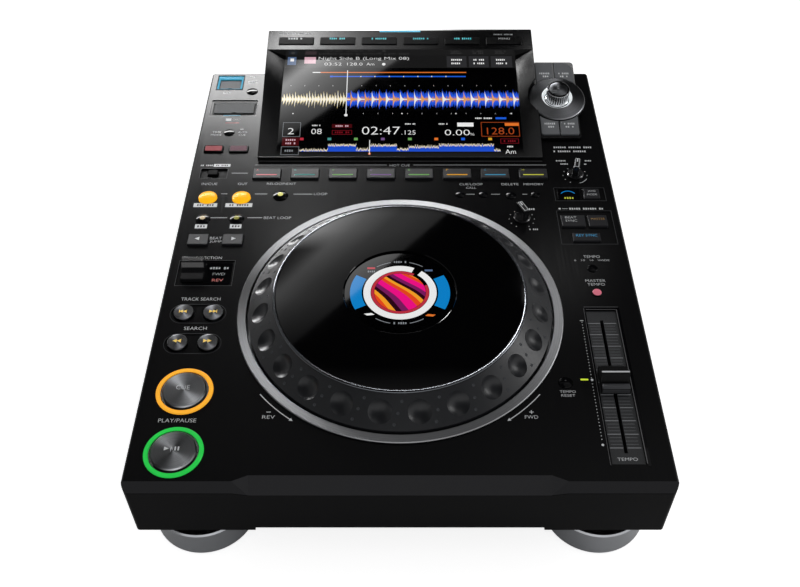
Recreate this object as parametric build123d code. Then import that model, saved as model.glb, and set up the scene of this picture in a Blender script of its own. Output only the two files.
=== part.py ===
from build123d import *
import os
from math import atan2, cos, hypot, radians, sin

# Tabletop DJ media player: a control deck with a jog wheel, a tilted screen and a tempo slider.
# Every piece is drawn in the deck frame, in millimetres: x to the right, y back from the front wall,
# z up from the top of the control deck. save() moves it to the part's own frame, whose origin is the
# middle of the whole footprint, on the surface that the player stands on.

# ---------------------------------------------------------------- driving dimensions
WIDTH = 329.0            # cabinet, side to side
DEPTH = 453.0            # front wall to the tips of the rear sockets
DECK_Z = 83.0            # control deck above the table
HEADER_TOP = 35.0        # highest point, above the deck: 118 mm above the table

WALL = 3.0               # cabinet walls and deck
BODY_DEPTH = 420.3       # cabinet, front wall to back wall
BODY_LOW = -50.6         # lower edge of the cabinet's walls
SKIRT_LOW = -47.7        # lower edge of the front wall between the feet
CORNER_R = 2.5           # upright corners
EDGE = 1.2               # chamfer along the deck's edges
BEVEL_SIDE = (3.5, 8.6)  # front bevel: how far back and how far down, outer thirds
BEVEL_MID = (7.6, 10.7)  # the same across the middle
BEVEL_MID_X = 90.0       # the middle bevel reaches this far each side
BEVEL_SIDE_X = 99.5      # and the outer one starts here
MID_X = 137.0            # centre line of the right and left control columns

CLEAR = 0.3              # gap round anything that moves through the deck
FLANGE = 0.9             # how far a button's flange reaches under the deck
FLANGE_GAP = 0.15
FLANGE_THICK = 1.2
TRAVEL = 1.0             # stroke of every button on the deck
BOARD_TOP = -10.2        # control board
BOARD_THICK = 1.6
SWITCH_TALL = 3.5
SWITCH_SIDE = 6.0
STEM_R = 1.6
STEM_END = BOARD_TOP + SWITCH_TALL + TRAVEL + 0.25

# Jog wheel, about its own axis
JOG = (0.0, 140.0)
JOG_R = 103.0            # outer edge of the turning ring
JOG_TOP = 18.5           # top plate above the deck
PLATE_R = 83.4
RING_TOP = (85.5, 17.1)  # upper edge of the dimpled cone, radius and height
RING_LOW = (103.0, 2.5)
BEZEL_R = (104.4, 110.8)
BEZEL_TALL = 1.8
DIMPLES = 24
DIMPLE_R = 7.75
DIMPLE_DEEP = 2.8
ROUND_SCREEN_R = 37.5
POST_R = 20.0            # fixed post that the hub turns on
HUB_FIT = 0.05

# Screen housing
POD_X = 113.0            # half its width
POD_FRONT = 298.9
POD_LIP = 3.8            # height of the step at its front
GLASS_X = 98.3           # half the width of the glass
GLASS_BACK = (410.0, 25.0)
HEADER_FRONT = (409.4, 31.0)
HEADER_BACK = (432.4, HEADER_TOP)
POD_BACK = 434.0         # where the rear cover takes over
POD_WALL = 2.5
GLASS_THICK = 1.2
SHELF_THICK = 2.0
SCREEN_THICK = 5.0
REAR_Y = 446.0           # face of the rear cover

# Rotary selector cluster, on its own slope
SELECTOR = (130.0, 363.5, 12.0)
SELECTOR_TILT = 11.0
SELECTOR_RING_R = 23.3
SELECTOR_TRAVEL = 0.8
PLATE_THICK = 2.4        # top of the pedestal
PEDESTAL_WALL = 1.2

HEADER_KEY = (29.6, 8.6)
HEADER_PITCH = 35.4
HEADER_KEY_MID = 9.9     # up the header's slope from its front edge
HEADER_TRAVEL = 0.8

# Direction lever
LEVER = (-146.0, 174.5)
LEVER_AXIS_Z = -11.4
LEVER_DRUM_R = 11.6
LEVER_WIDE = 15.6
LEVER_PIN_R = 1.5

# Tempo slider
SLIDER = (136.5, 77.0)
SLIDER_STROKE = 50.0     # each way from the middle
SLOT_LONG = 107.0
SLOT_WIDE = 2.2
STEM_LONG = 5.0
RECESS_DEEP = 1.0

# Round lit buttons
PLAY = (-136.4, 23.6)
CUE = (-136.6, 69.5)
LIT_R = (15.5, 18.1)     # inner and outer radius of the light ring
LIT_CAP_R = 14.0
LIT_COLLAR_R = 15.1
RING_FLANGE_R = 19.4     # the light ring's flange under the deck

# Round buttons: node, height above the deck, then x, y, radius of each cap
ROUND_BUTTONS = {
    "loop_in_button": (2.6, [(-146.8, 254.6, 7.0)]),
    "loop_out_button": (2.6, [(-121.2, 254.6, 7.0)]),
    "reloop_button": (2.0, [(-91.4, 256.8, 5.6)]),
    "beat_loop_buttons": (2.0, [(-147.3, 230.4, 5.2), (-121.9, 230.4, 5.2)]),
    "track_back_button": (1.6, [(-147.2, 135.8, 6.8)]),
    "track_forward_button": (1.6, [(-127.0, 135.8, 6.8)]),
    "search_back_button": (1.6, [(-147.4, 109.2, 6.8)]),
    "search_forward_button": (1.6, [(-127.2, 109.2, 6.8)]),
    "tempo_buttons": (1.2, [(136.8, 178.8, 3.7), (136.8, 155.2, 3.7), (105.9, 76.3, 4.4)]),
    "media_buttons": (1.2, [(-127.1, 392.2, 4.6), (-140.1, 334.9, 4.2)]),
    "memory_buttons": (1.2, [(46.0, 258.2, 3.3), (63.7, 258.2, 3.3), (85.0, 257.0, 3.9),
                             (103.7, 258.2, 3.3)]),
}

FLAT_TALL = 1.6          # caps of this height are flat, the others domed

# Square keys: node, height above the deck, corner radius, then x, y, width, length of each cap
KEYS = {
    "beat_jump_back_key": (1.8, 0.8, [(-147.4, 207.4, 15.0, 11.0)]),
    "beat_jump_forward_key": (1.8, 0.8, [(-122.1, 207.4, 15.0, 11.0)]),
    "quantize_keys": (1.4, 1.6, [(-149.9, 313.2, 15.6, 8.4), (-129.8, 313.2, 15.6, 8.4),
                                 (-146.6, 283.4, 8.0, 6.0)]),
    "sync_keys": (1.2, 0.8, [(129.1, 228.0, 17.8, 12.4), (147.3, 228.0, 14.2, 12.4),
                             (136.8, 210.4, 20.4, 8.6), (146.6, 258.6, 12.4, 11.4)]),
}
HOT_CUE_PITCH = 29.75
HOT_CUE_Y = 281.8
HOT_CUE_SIZE = (22.0, 11.6)
HOT_CUE_TALL = 1.8

# Shallow recesses in the deck: x, y, width, length, corner radius, depth
RECESSES = [
    (-140.3, 369.0, 38.8, 22.5, 1.5, 0.8),      # round the card door
    (-146.0, 283.6, 21.0, 11.4, 0.8, 1.4),      # round the small quantize button
    (-137.8, 174.5, 39.5, 24.5, 0.8, 1.0),      # direction lever and its window
    (-137.5, 135.8, 37.6, 16.8, 8.3, 0.6),      # track buttons
    (-137.5, 109.2, 37.6, 16.8, 8.3, 0.6),      # search buttons
    (137.9, 258.7, 38.3, 14.6, 0.8, 0.8),       # jog mode key and window
    (138.4, 221.8, 40.6, 35.7, 1.5, 0.8),       # sync keys
]

# Turning knobs: node, x, y, angle of the pointer at rest
KNOBS = {
    "vinyl_speed_knob": (137.0, 281.0, -12.0),
    "jog_adjust_knob": (91.0, 230.8, 25.0),
}
KNOB_SHAFT_R = 3.0
KNOB_TALL = 13.0

# Hinged covers: node, x, y of the well's middle, width, length, level of the cover's top
USB_WELL = (-147.3, 403.8, 17.9, 13.2, -1.2)
USB_TRAY = (-147.3, 405.6, 22.0, 20.0)          # lit surround, level with the cover
USB_FRAME = (-147.3, 405.6, 23.4, 21.4)
CARD_WELL = (-139.6, 369.0, 33.9, 15.0, 0.0)
CARD_FRAME = (-139.6, 369.0, 36.6, 18.0)
COVER_THICK = 1.6
COVER_GAP = 0.3
COVER_PIN_R = 0.55

# Feet
FOOT_X = 128.5
FOOT_Y = (33.5, 385.0)
FOOT_R = 33.5
NECK_R = 24.0
CUP_TOP = -59.0
PAD_TALL = 1.6

# Base plate, screws and inner boards
PLATE_Z = (-49.2, -47.6)
BOSS_R = 3.5
SCREW_R = 1.25
SCREW_HEAD = (2.8, 1.6)
BOSSES = [(s * x, y) for s in (-1, 1) for x, y in
          [(157.8, 46.5), (157.8, 152.5), (157.8, 268.5), (157.8, 346.0), (60.0, 12.0), (106.5, 402.0)]]

# Rear sockets, by x, and their common height
SOCKET_PANEL = (-90.0, 104.0, -43.5, -16.5)
SOCKET_Z = -30.0
POWER_X = 92.0
INLET_X = 58.0
NETWORK_X = 18.0
USB_B_X = -6.0
PHONO_X = (-36.0, -62.0, -78.0)
PHONO_R = 4.15


# ---------------------------------------------------------------- drawing helpers
def block(x0, x1, y0, y1, z0, z1):
    """A box between two corners."""
    middle = Pos((x0 + x1) / 2, (y0 + y1) / 2, (z0 + z1) / 2)
    return middle * Box(abs(x1 - x0), abs(y1 - y0), abs(z1 - z0))


def disc(x, y, r, z0, z1):
    """An upright cylinder between two levels."""
    return Pos(x, y, (z0 + z1) / 2) * Cylinder(r, z1 - z0)


def slab(x, y, wide, long, z0, z1, corner=0.0):
    """A plate with rounded upright edges, centred on x and y."""
    face = RectangleRounded(wide, long, corner) if corner else Rectangle(wide, long)
    return Pos(x, y, z0) * extrude(face, z1 - z0)


def outline(points):
    """A closed flat face through points."""
    return make_face(Polyline(*points, close=True))


def side_prism(points, x0, x1):
    """A side outline in y and z, swept across from x0 to x1."""
    return Pos(x0, 0, 0) * extrude(Plane.YZ * outline(points), x1 - x0)


def turned(points, x=0.0, y=0.0):
    """A half section in radius and height, turned about an upright axis."""
    return Pos(x, y, 0) * revolve(Plane.XZ * outline(points), Axis.Z)


def soften(shape, size):
    """Chamfer the top edges of a cap."""
    return chamfer(shape.edges().group_by(Axis.Z)[-1], size)


def slope(origin, rise, run):
    """Coordinates that lie on a slope: x across, y up the slope, z out of it."""
    tilt = atan2(rise, run)
    return Plane(origin=origin, x_dir=(1, 0, 0), z_dir=(0, -sin(tilt), cos(tilt))).location


def along_y(x, z, r, y0, y1):
    """A cylinder that lies along y."""
    return Pos(x, (y0 + y1) / 2, z) * Rot(90, 0, 0) * Cylinder(r, y1 - y0)


def along_x(y, z, r, x0, x1):
    """A cylinder that lies along x."""
    return Pos((x0 + x1) / 2, y, z) * Rot(0, 90, 0) * Cylinder(r, x1 - x0)


def save(node, *solids):
    """Move a node's solids to the part's own frame and write them."""
    whole = solids[0]
    if len(solids) > 1:
        whole = Compound(children=[piece for shape in solids for piece in shape.solids()])
    placed = Pos(0, -DEPTH / 2, DECK_Z) * whole
    export_step(placed, f"parts/{node}.step")


on_screen = slope((0, POD_FRONT, POD_LIP), GLASS_BACK[1] - POD_LIP, GLASS_BACK[0] - POD_FRONT)
on_header = slope((0, *HEADER_FRONT), HEADER_BACK[1] - HEADER_FRONT[1],
                  HEADER_BACK[0] - HEADER_FRONT[0])
on_selector = slope(SELECTOR, sin(radians(SELECTOR_TILT)), cos(radians(SELECTOR_TILT)))
glass_long = hypot(GLASS_BACK[0] - POD_FRONT, GLASS_BACK[1] - POD_LIP)


# ---------------------------------------------------------------- buttons and keys
def round_cap(x, y, r, tall):
    """A round button: flat or domed cap, flange under the deck, stem over its switch."""
    top = -WALL - FLANGE_GAP
    if tall == FLAT_TALL:
        cap = disc(x, y, r, top, tall)
        cap = fillet(cap.edges().group_by(Axis.Z)[-1], 0.4)
    else:
        rim, crown = 0.25 * tall + 0.3, r - 0.3
        bulge = (crown ** 2 + (tall - rim) ** 2) / (2 * (tall - rim))
        halfway = (crown / 2, tall - bulge + (bulge ** 2 - crown ** 2 / 4) ** 0.5)
        side = Polyline((0, tall), (0, top), (r, top), (r, rim - 0.3), (crown, rim))
        face = make_face(side + ThreePointArc((crown, rim), halfway, (0, tall)))
        cap = Pos(x, y, 0) * revolve(Plane.XZ * face, Axis.Z)
    flange = disc(x, y, r + FLANGE, top - FLANGE_THICK, top)
    stem = disc(x, y, STEM_R, STEM_END, top)
    return cap + flange + stem


def square_cap(x, y, wide, long, tall, corner):
    """A square key, made the same way."""
    top = -WALL - FLANGE_GAP
    cap = soften(slab(x, y, wide, long, top, tall, corner), 0.5)
    flange = slab(x, y, wide + 2 * FLANGE, long + 2 * FLANGE, top - FLANGE_THICK, top)
    stem = disc(x, y, STEM_R, STEM_END, top)
    return cap + flange + stem


def lit_button(x, y):
    """Large round button: black collar with a metal cap, and a flange under its light ring."""
    low = -WALL - FLANGE_THICK - FLANGE_GAP
    collar = disc(x, y, LIT_COLLAR_R, low, 0.6)
    cap = soften(disc(x, y, LIT_CAP_R, 0.0, 2.3), 0.8)
    flange = disc(x, y, LIT_R[0] + FLANGE, low - 0.9, low)
    return collar + cap + flange


def light_ring(x, y):
    """Clear ring round a large button, with a flange that bears on the deck from below."""
    ring = disc(x, y, LIT_R[1], -WALL - FLANGE_THICK, 1.1)
    ring += disc(x, y, RING_FLANGE_R, -WALL - FLANGE_THICK, -WALL)
    ring = chamfer(ring.edges().group_by(Axis.Z)[-1], 0.5)
    return ring - disc(x, y, LIT_R[0], -10, 10)


hot_cues = [((i - 3.5) * HOT_CUE_PITCH, HOT_CUE_Y, *HOT_CUE_SIZE) for i in range(8)]
for first in range(0, 8, 2):
    KEYS[f"hot_cue_keys_{first + 1}_{first + 2}"] = (HOT_CUE_TALL, 0.8, hot_cues[first:first + 2])


# ---------------------------------------------------------------- cabinet
def front_bevel():
    """The cuts that the bevel makes along the top front edge."""
    def section(back, down):
        return [(back, 0), (0, -down), (-5, -down - 5), (-5, 5), (back, 5)]

    def between(s):
        """The slanted piece where the outer bevel meets the middle one."""
        near, far = [[(x, *point) for point in section(*bevel)] for x, bevel in
                     ((s * BEVEL_MID_X, BEVEL_MID), (s * BEVEL_SIDE_X, BEVEL_SIDE))]
        faces = [near, far]
        for a, b, c, d in zip(near, near[1:] + near[:1], far, far[1:] + far[:1]):
            faces += [(a, b, c), (b, d, c)]
        return Solid(Shell([Face(Wire.make_polygon(points, close=True)) for points in faces]))

    cuts = [side_prism(section(*BEVEL_MID), -BEVEL_MID_X, BEVEL_MID_X)]
    for s in (-1, 1):
        cuts += [between(s), side_prism(section(*BEVEL_SIDE), *sorted((s * BEVEL_SIDE_X, s * WIDTH)))]
    return cuts


def deck_holes():
    """Openings in the deck for everything that comes through it."""
    holes = [disc(*JOG, BEZEL_R[0] + 0.6, -20, 20)]
    for tall, places in ROUND_BUTTONS.values():
        holes += [disc(x, y, r + CLEAR, -20, 20) for x, y, r in places]
    for tall, corner, places in KEYS.values():
        holes += [slab(x, y, wide + 2 * CLEAR, long + 2 * CLEAR, -20, 20, corner + CLEAR)
                  for x, y, wide, long in places]
    holes += [disc(x, y, LIT_R[1] + 0.1, -20, 20) + disc(x, y, RING_FLANGE_R + 0.1, -7, -WALL)
              for x, y in (PLAY, CUE)]
    holes += [disc(x, y, KNOB_SHAFT_R + 0.4, -20, 20) for x, y, turn in KNOBS.values()]
    holes += [slab(SLIDER[0] + 0.5, SLIDER[1], 20.6, 123.8, -20, 20)]
    holes += [slab(LEVER[0], LEVER[1], LEVER_WIDE + 0.8, 17.4, -20, 20)]
    holes += [slab(x, y, wide + 0.2, long + 0.2, -20, 20)
              for x, y, wide, long in (USB_FRAME, CARD_FRAME)]
    holes += [block(-101, 101, 301.6, 414.0, -20, 20)]
    holes += [block(117.0, 146.0, 330.0, 398.0, -20, 20)]
    for x, y, wide, long, corner, deep in RECESSES:
        holes.append(slab(x, y, wide, long, -deep, 20, corner))
    return holes


def hollow():
    """The space inside the cabinet; its upper front edge runs parallel to the bevel."""
    x = WIDTH / 2 - WALL
    mid = [(WALL, BODY_LOW - 1), (WALL, -11.7), (9.2, -WALL), (BODY_DEPTH - WALL, -WALL),
           (BODY_DEPTH - WALL, BODY_LOW - 1)]
    side = [(WALL, BODY_LOW - 1), (WALL, -9.2), (5.6, -WALL), (20.0, -WALL), (20.0, BODY_LOW - 1)]
    space = side_prism(mid, -x, x)
    for s in (-1, 1):
        start = s * (BEVEL_SIDE_X + WALL)
        space += side_prism(side, min(start, s * x), max(start, s * x))
    return space


def cabinet():
    shell = slab(0, BODY_DEPTH / 2, WIDTH, BODY_DEPTH, BODY_LOW, 0, CORNER_R)
    shell = chamfer(shell.edges().group_by(Axis.Z)[-1], EDGE)
    shell -= hollow()
    shell -= front_bevel()
    shell -= block(-BEVEL_MID_X, BEVEL_MID_X, -1, WALL + 1, BODY_LOW - 1, SKIRT_LOW)
    inner_x = POD_X - POD_WALL
    shell -= block(-inner_x, inner_x, BODY_DEPTH - WALL - 1, BODY_DEPTH + 1, -48.1, -WALL)
    bosses = [disc(x, y, BOSS_R, PLATE_Z[1], -WALL + 0.5) for x, y in BOSSES]
    lugs = [block(LEVER[0] + s * (LEVER_WIDE / 2 + 0.4), LEVER[0] + s * (LEVER_WIDE / 2 + 2.9),
                  LEVER[1] - 3.5, LEVER[1] + 3.5, LEVER_AXIS_Z - 3.5, -1.5) for s in (-1, 1)]
    pins = along_x(LEVER[1], LEVER_AXIS_Z, LEVER_PIN_R + HUB_FIT, LEVER[0] - 20, LEVER[0] + 20)
    shell = shell + bosses + lugs
    bores = [disc(x, y, SCREW_R + 0.05, BODY_LOW - 1, -12) for x, y in BOSSES]
    return shell - deck_holes() - pins - bores


def base_plate():
    plate = slab(0, BODY_DEPTH / 2, WIDTH - 2 * WALL - 0.2, BODY_DEPTH - 2 * WALL - 0.2, *PLATE_Z)
    slots = [slab(x, 215.0, 3.0, 46.0, *PLATE_Z) for x in range(-40, 41, 8)]
    screws = [disc(x, y, SCREW_R + 0.35, -60, -40) for x, y in BOSSES]
    stands = [disc(x, y, 3.0, PLATE_Z[1] - 0.2, BOARD_STAND_Z) for x, y in MAIN_STANDS + POWER_STANDS]
    return plate - slots - screws + stands


def case_screws():
    head_r, head_tall = SCREW_HEAD
    head_z = PLATE_Z[0]
    heads = [soften(Rot(180, 0, 0) * disc(0, 0, head_r, -head_z, head_tall - head_z), 0.4) for _ in BOSSES]
    screws = []
    for head, (x, y) in zip(heads, BOSSES):
        drive = disc(0, 0, 1.1, head_z - head_tall - 1, head_z - head_tall + 0.9)
        screws.append(Pos(x, y, 0) * (head - drive + disc(0, 0, SCREW_R, head_z, -13)))
    return screws


def foot_cups():
    """Hollow silver cups round the rubber cores."""
    low = -DECK_Z + PAD_TALL
    section = [(NECK_R - 1.0, CUP_TOP), (FOOT_R - 1.0, CUP_TOP), (FOOT_R, CUP_TOP - 1.0), (FOOT_R, low + 1.5),
               (FOOT_R - 1.5, low), (FOOT_R - 3.0, low), (FOOT_R - 3.0, CUP_TOP - 2.5),
               (NECK_R - 1.0, CUP_TOP - 2.5)]
    return [turned(section, s * FOOT_X, y) for s in (-1, 1) for y in FOOT_Y]


def foot_pads():
    """Rubber cores: a neck under the base plate, a stem in the cup, and the pad that stands on the table."""
    low = -DECK_Z
    section = [(0, PLATE_Z[0]), (NECK_R, PLATE_Z[0]), (NECK_R, CUP_TOP), (NECK_R - 1.2, CUP_TOP),
               (NECK_R - 1.2, CUP_TOP - 2.5), (20.0, CUP_TOP - 4.0), (20.0, low + 6.0),
               (FOOT_R - 3.2, low + 6.0), (FOOT_R - 3.2, low + PAD_TALL), (FOOT_R - 3.8, low), (0, low)]
    return [turned(section, s * FOOT_X, y) for s in (-1, 1) for y in FOOT_Y]


# ---------------------------------------------------------------- screen housing and rear cover
def selector_bore(extra):
    """The round space that the selector's ring needs."""
    return on_selector * Pos(0, 0, 0) * Cylinder(SELECTOR_RING_R + extra, 120)


def display_housing():
    header_z = HEADER_TOP
    body = side_prism([(POD_FRONT, 0), (POD_FRONT, POD_LIP), (HEADER_FRONT[0], GLASS_BACK[1] - 0.1),
                       HEADER_FRONT, HEADER_BACK, (POD_BACK, header_z), (POD_BACK, 0)], -POD_X, POD_X)
    for s in (-1, 1):
        front = Plane(origin=(0, POD_FRONT, 0), x_dir=(1, 0, 0), z_dir=(0, -1, 0)) * outline(
            [(s * GLASS_X, 0), (s * POD_X, 0), (s * POD_X, POD_LIP), (s * GLASS_X, POD_LIP)])
        back = Plane(origin=(0, HEADER_FRONT[0], 0), x_dir=(1, 0, 0), z_dir=(0, -1, 0)) * outline(
            [(s * GLASS_X, 0), (s * POD_X, 0), (s * POD_X, HEADER_FRONT[1]),
             (s * GLASS_X, GLASS_BACK[1] - 0.1)])
        body += loft([front, back], ruled=True)
    under = GLASS_THICK + SHELF_THICK
    rise = (GLASS_BACK[1] - POD_LIP) / (GLASS_BACK[0] - POD_FRONT)
    inner_front = POD_FRONT + POD_WALL
    inner_back = HEADER_FRONT[0] + POD_WALL
    shelf_z = POD_LIP - under * hypot(1, rise)
    space = side_prism([(inner_front, -1), (inner_front, shelf_z + POD_WALL * rise),
                        (inner_back, shelf_z + (inner_back - POD_FRONT) * rise),
                        (inner_back, HEADER_FRONT[1] - 1.7), (POD_BACK + 1, header_z - 1.7),
                        (POD_BACK + 1, -1)], -POD_X + POD_WALL, POD_X - POD_WALL)
    body -= space - selector_bore(0.9 + POD_WALL)
    body -= selector_bore(0.9)
    body -= on_screen * slab(0, glass_long / 2 - 0.2, 2 * GLASS_X, glass_long - 2.0, -GLASS_THICK, 1.0)
    body -= on_screen * slab(0, glass_long / 2, 2 * GLASS_X - 6.0, glass_long - 8.0, -under - 1, 0.0)
    wide, long = HEADER_KEY
    holes = [on_header * slab(x, HEADER_KEY_MID, wide + 2 * CLEAR, long + 2 * CLEAR, -10, 10)
             for x in header_keys_x]
    return body - holes


def display_glass():
    glass = slab(0, glass_long / 2 - 0.2, 2 * GLASS_X - 0.4, glass_long - 2.4, -GLASS_THICK, 0.0)
    return on_screen * glass


def display_panel():
    under = GLASS_THICK + SHELF_THICK
    panel = slab(0, glass_long / 2, 2 * GLASS_X + 3.0, glass_long - 6.0, -under - SCREEN_THICK, -under)
    driver = slab(0, glass_long / 2, 90.0, 60.0, -under - SCREEN_THICK - 2.0, -under - SCREEN_THICK)
    return on_screen * (panel + driver)


header_keys_x = [(i - 2.5) * HEADER_PITCH for i in range(6)]


def header_key(x):
    """A key on the header strip: cap, flange below the strip, stem."""
    top = -2.1 - FLANGE_GAP
    cap = soften(slab(x, HEADER_KEY_MID, *HEADER_KEY, top, 0.9, 0.8), 0.3)
    flange = slab(x, HEADER_KEY_MID, HEADER_KEY[0] + 1.2, HEADER_KEY[1] + 1.2, top - 1.2, top)
    stem = disc(x, HEADER_KEY_MID, STEM_R, -5.2, top)
    return on_header * (cap + flange + stem)


def rear_cover():
    outer = side_prism([(BODY_DEPTH, BODY_LOW), (REAR_Y, BODY_LOW), (REAR_Y, 22.8), (438.0, 31.3),
                        (POD_BACK, 34.6), (POD_BACK, 0), (BODY_DEPTH, 0)], -POD_X, POD_X)
    inner = side_prism([(BODY_DEPTH - 1, -48.1), (REAR_Y - POD_WALL, -48.1), (REAR_Y - POD_WALL, 21.8),
                        (436.9, 28.8), (POD_BACK - 1, 31.6), (POD_BACK - 1, -POD_WALL),
                        (BODY_DEPTH - 1, -POD_WALL)], -POD_X + POD_WALL, POD_X - POD_WALL)
    cover = outer - inner
    slots = [block(x, x + 2.4, REAR_Y - 5, REAR_Y + 1, z, z + 9.0)
             for x in range(-96, 97, 6) for z in (2.0, 13.0)]
    x0, x1, z0, z1 = SOCKET_PANEL
    return cover - slots - block(x0 - 0.1, x1 + 0.1, REAR_Y - 5, REAR_Y + 1, z0 - 0.1, z1 + 0.1)


def socket_panel():
    """Flat panel that carries the sockets, level with the rear cover."""
    x0, x1, z0, z1 = SOCKET_PANEL
    panel = block(x0, x1, REAR_Y - POD_WALL, REAR_Y, z0, z1)
    holes = [block(x - half, x + half, REAR_Y - 5, REAR_Y + 1, SOCKET_Z - tall, SOCKET_Z + tall)
             for x, half, tall in ((INLET_X, 14.4, 11.2), (NETWORK_X, 8.1, 7.1), (USB_B_X, 6.2, 5.7),
                                   (POWER_X, 6.3, 3.8))]
    holes += [along_y(x, SOCKET_Z, PHONO_R + 0.1, REAR_Y - 5, REAR_Y + 1) for x in PHONO_X]
    return panel - holes


def phono(x):
    """Phono socket: a flanged metal barrel round an insulator with a hole for the centre pin."""
    barrel = along_y(x, SOCKET_Z, PHONO_R, REAR_Y + 0.8, DEPTH)
    flange = along_y(x, SOCKET_Z, PHONO_R + 1.5, REAR_Y, REAR_Y + 0.8)
    neck = along_y(x, SOCKET_Z, PHONO_R - 0.2, REAR_Y - POD_WALL, REAR_Y)
    body = block(x - 6, x + 6, 430.0, REAR_Y - POD_WALL, SOCKET_Z - 7, SOCKET_Z + 7)
    return barrel + flange + neck + body - along_y(x, SOCKET_Z, 1.65, DEPTH - 8, DEPTH + 1)


def rear_sockets():
    network = block(NETWORK_X - 8, NETWORK_X + 8, 429.0, REAR_Y + 0.3, SOCKET_Z - 7, SOCKET_Z + 7)
    network -= block(NETWORK_X - 5.9, NETWORK_X + 5.9, REAR_Y - 12.5, REAR_Y + 1,
                     SOCKET_Z - 4.0, SOCKET_Z + 4.0)
    usb = block(USB_B_X - 6.1, USB_B_X + 6.1, 430.0, REAR_Y + 0.3, SOCKET_Z - 5.6, SOCKET_Z + 5.6)
    usb -= block(USB_B_X - 4.25, USB_B_X + 4.25, REAR_Y - 10.0, REAR_Y + 1,
                 SOCKET_Z - 3.9, SOCKET_Z + 3.9)
    switch = block(POWER_X - 7.5, POWER_X + 7.5, 424.0, 436.0, SOCKET_Z - 6, SOCKET_Z + 6)
    return [network, usb, switch] + [phono(x) for x in PHONO_X]


def socket_board():
    """Circuit board below the rear sockets, stepped round the mains inlet."""
    low = SOCKET_Z - 9.6
    top = SOCKET_Z - 8.0
    board = block(-88, 102, 424.0, 443.0, low, top)
    board -= block(INLET_X - 16, INLET_X + 16, 423.0, 444.0, SOCKET_Z - 12, SOCKET_Z)
    board += block(INLET_X - 17, INLET_X + 17, 417.0, 424.5, low, top)
    tall = {NETWORK_X: 1.0, USB_B_X: 2.4, POWER_X: 2.0}
    tall.update({x: 1.0 for x in PHONO_X})
    legs = [block(x - 3, x + 3, 431.0, 435.5, top, top + leg) for x, leg in tall.items()]
    return board + legs


def power_button():
    x, z = POWER_X, SOCKET_Z
    cap = block(x - 6, x + 6, REAR_Y - POD_WALL - 0.2, REAR_Y + 2.5, z - 3.5, z + 3.5)
    cap = chamfer(cap.edges().group_by(Axis.Y)[-1], 0.5)
    flange = block(x - 7.2, x + 7.2, REAR_Y - POD_WALL - 1.4, REAR_Y - POD_WALL - 0.2, z - 4.7, z + 4.7)
    stem = block(x - 2, x + 2, 438.7, REAR_Y - POD_WALL - 1.4, z - 2, z + 2)
    return cap + flange + stem


def mains_inlet():
    """Three-pole inlet: rim, deep cavity and three flat pins."""
    x, z = INLET_X, SOCKET_Z
    body = block(x - 14.25, x + 14.25, 427.0, REAR_Y, z - 11, z + 11)
    body += block(x - 16.5, x + 16.5, REAR_Y, REAR_Y + 1.5, z - 13, z + 13)
    body -= block(x - 12.2, x + 12.2, REAR_Y + 1.5 - 15.0, REAR_Y + 2, z - 8.2, z + 8.2)
    pins = [block(x + dx - 1.0, x + dx + 1.0, 430.0, REAR_Y - 1.0, z + dz - 2.0, z + dz + 2.0)
            for dx, dz in ((-7.0, -1.5), (7.0, -1.5), (0.0, 3.5))]
    return body + pins


# ---------------------------------------------------------------- jog wheel
def jog_ring():
    """Dimpled ring, its skirt and the floor that joins it to the hub."""
    floor = (13.0, 15.6)
    section = [(24.0, floor[0]), (80.5, floor[0]), (98.5, -1.0), (98.5, -4.0), (RING_LOW[0], -4.0),
               RING_LOW, RING_TOP, (PLATE_R + 0.5, RING_TOP[1]), (PLATE_R + 0.5, floor[1]),
               (24.0, floor[1])]
    ring = turned(section, *JOG)
    ball = (DIMPLE_R ** 2 + DIMPLE_DEEP ** 2) / (2 * DIMPLE_DEEP)
    tilt = atan2(RING_TOP[1] - RING_LOW[1], RING_LOW[0] - RING_TOP[0])
    mid_r = (RING_TOP[0] + RING_LOW[0]) / 2
    mid_z = (RING_TOP[1] + RING_LOW[1]) / 2
    lift = ball - DIMPLE_DEEP
    reach = mid_r + lift * sin(tilt)
    level = mid_z + lift * cos(tilt)
    dimples = []
    for i in range(DIMPLES):
        turn = radians((i + 0.5) * 360 / DIMPLES - 90)
        place = Pos(JOG[0] + reach * cos(turn), JOG[1] + reach * sin(turn), level)
        dimples.append(place * Sphere(ball))
    return ring - dimples


def jog_top_plate():
    inner = ROUND_SCREEN_R + 0.4
    section = [(inner, 15.6), (PLATE_R, 15.6), (PLATE_R, JOG_TOP - 0.3), (PLATE_R - 0.3, JOG_TOP),
               (inner + 0.3, JOG_TOP), (inner, JOG_TOP - 0.3)]
    return turned(section, *JOG)


def jog_hub():
    """Sleeve on the post, the flange that carries the ring, and the encoder disc."""
    bore = POST_R + HUB_FIT
    section = [(bore, -6.0), (34.0, -6.0), (34.0, -5.0), (24.0, -5.0), (24.0, 10.5), (34.0, 10.5),
               (34.0, 13.0), (bore, 13.0)]
    return turned(section, *JOG)


def jog_bearing():
    """Frame plate that hangs under the deck, with the fixed post."""
    rim = BEZEL_R[0] + 1.6
    section = [(14.0, -12.0), (rim + 2.5, -12.0), (rim + 2.5, -WALL), (rim, -WALL), (rim, -10.0),
               (POST_R, -10.0), (POST_R, 14.0), (14.0, 14.0)]
    frame = turned(section, *JOG)
    windows = [disc(JOG[0] + 65 * cos(radians(a)), JOG[1] + 65 * sin(radians(a)), 20, -13, -9)
               for a in range(30, 390, 60)]
    return frame - windows


def jog_display():
    stem = disc(*JOG, POST_R - 0.5, 14.0, 15.9)
    screen = disc(*JOG, ROUND_SCREEN_R, 15.9, JOG_TOP - 1.5)
    return soften(stem + screen, 0.3)


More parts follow.
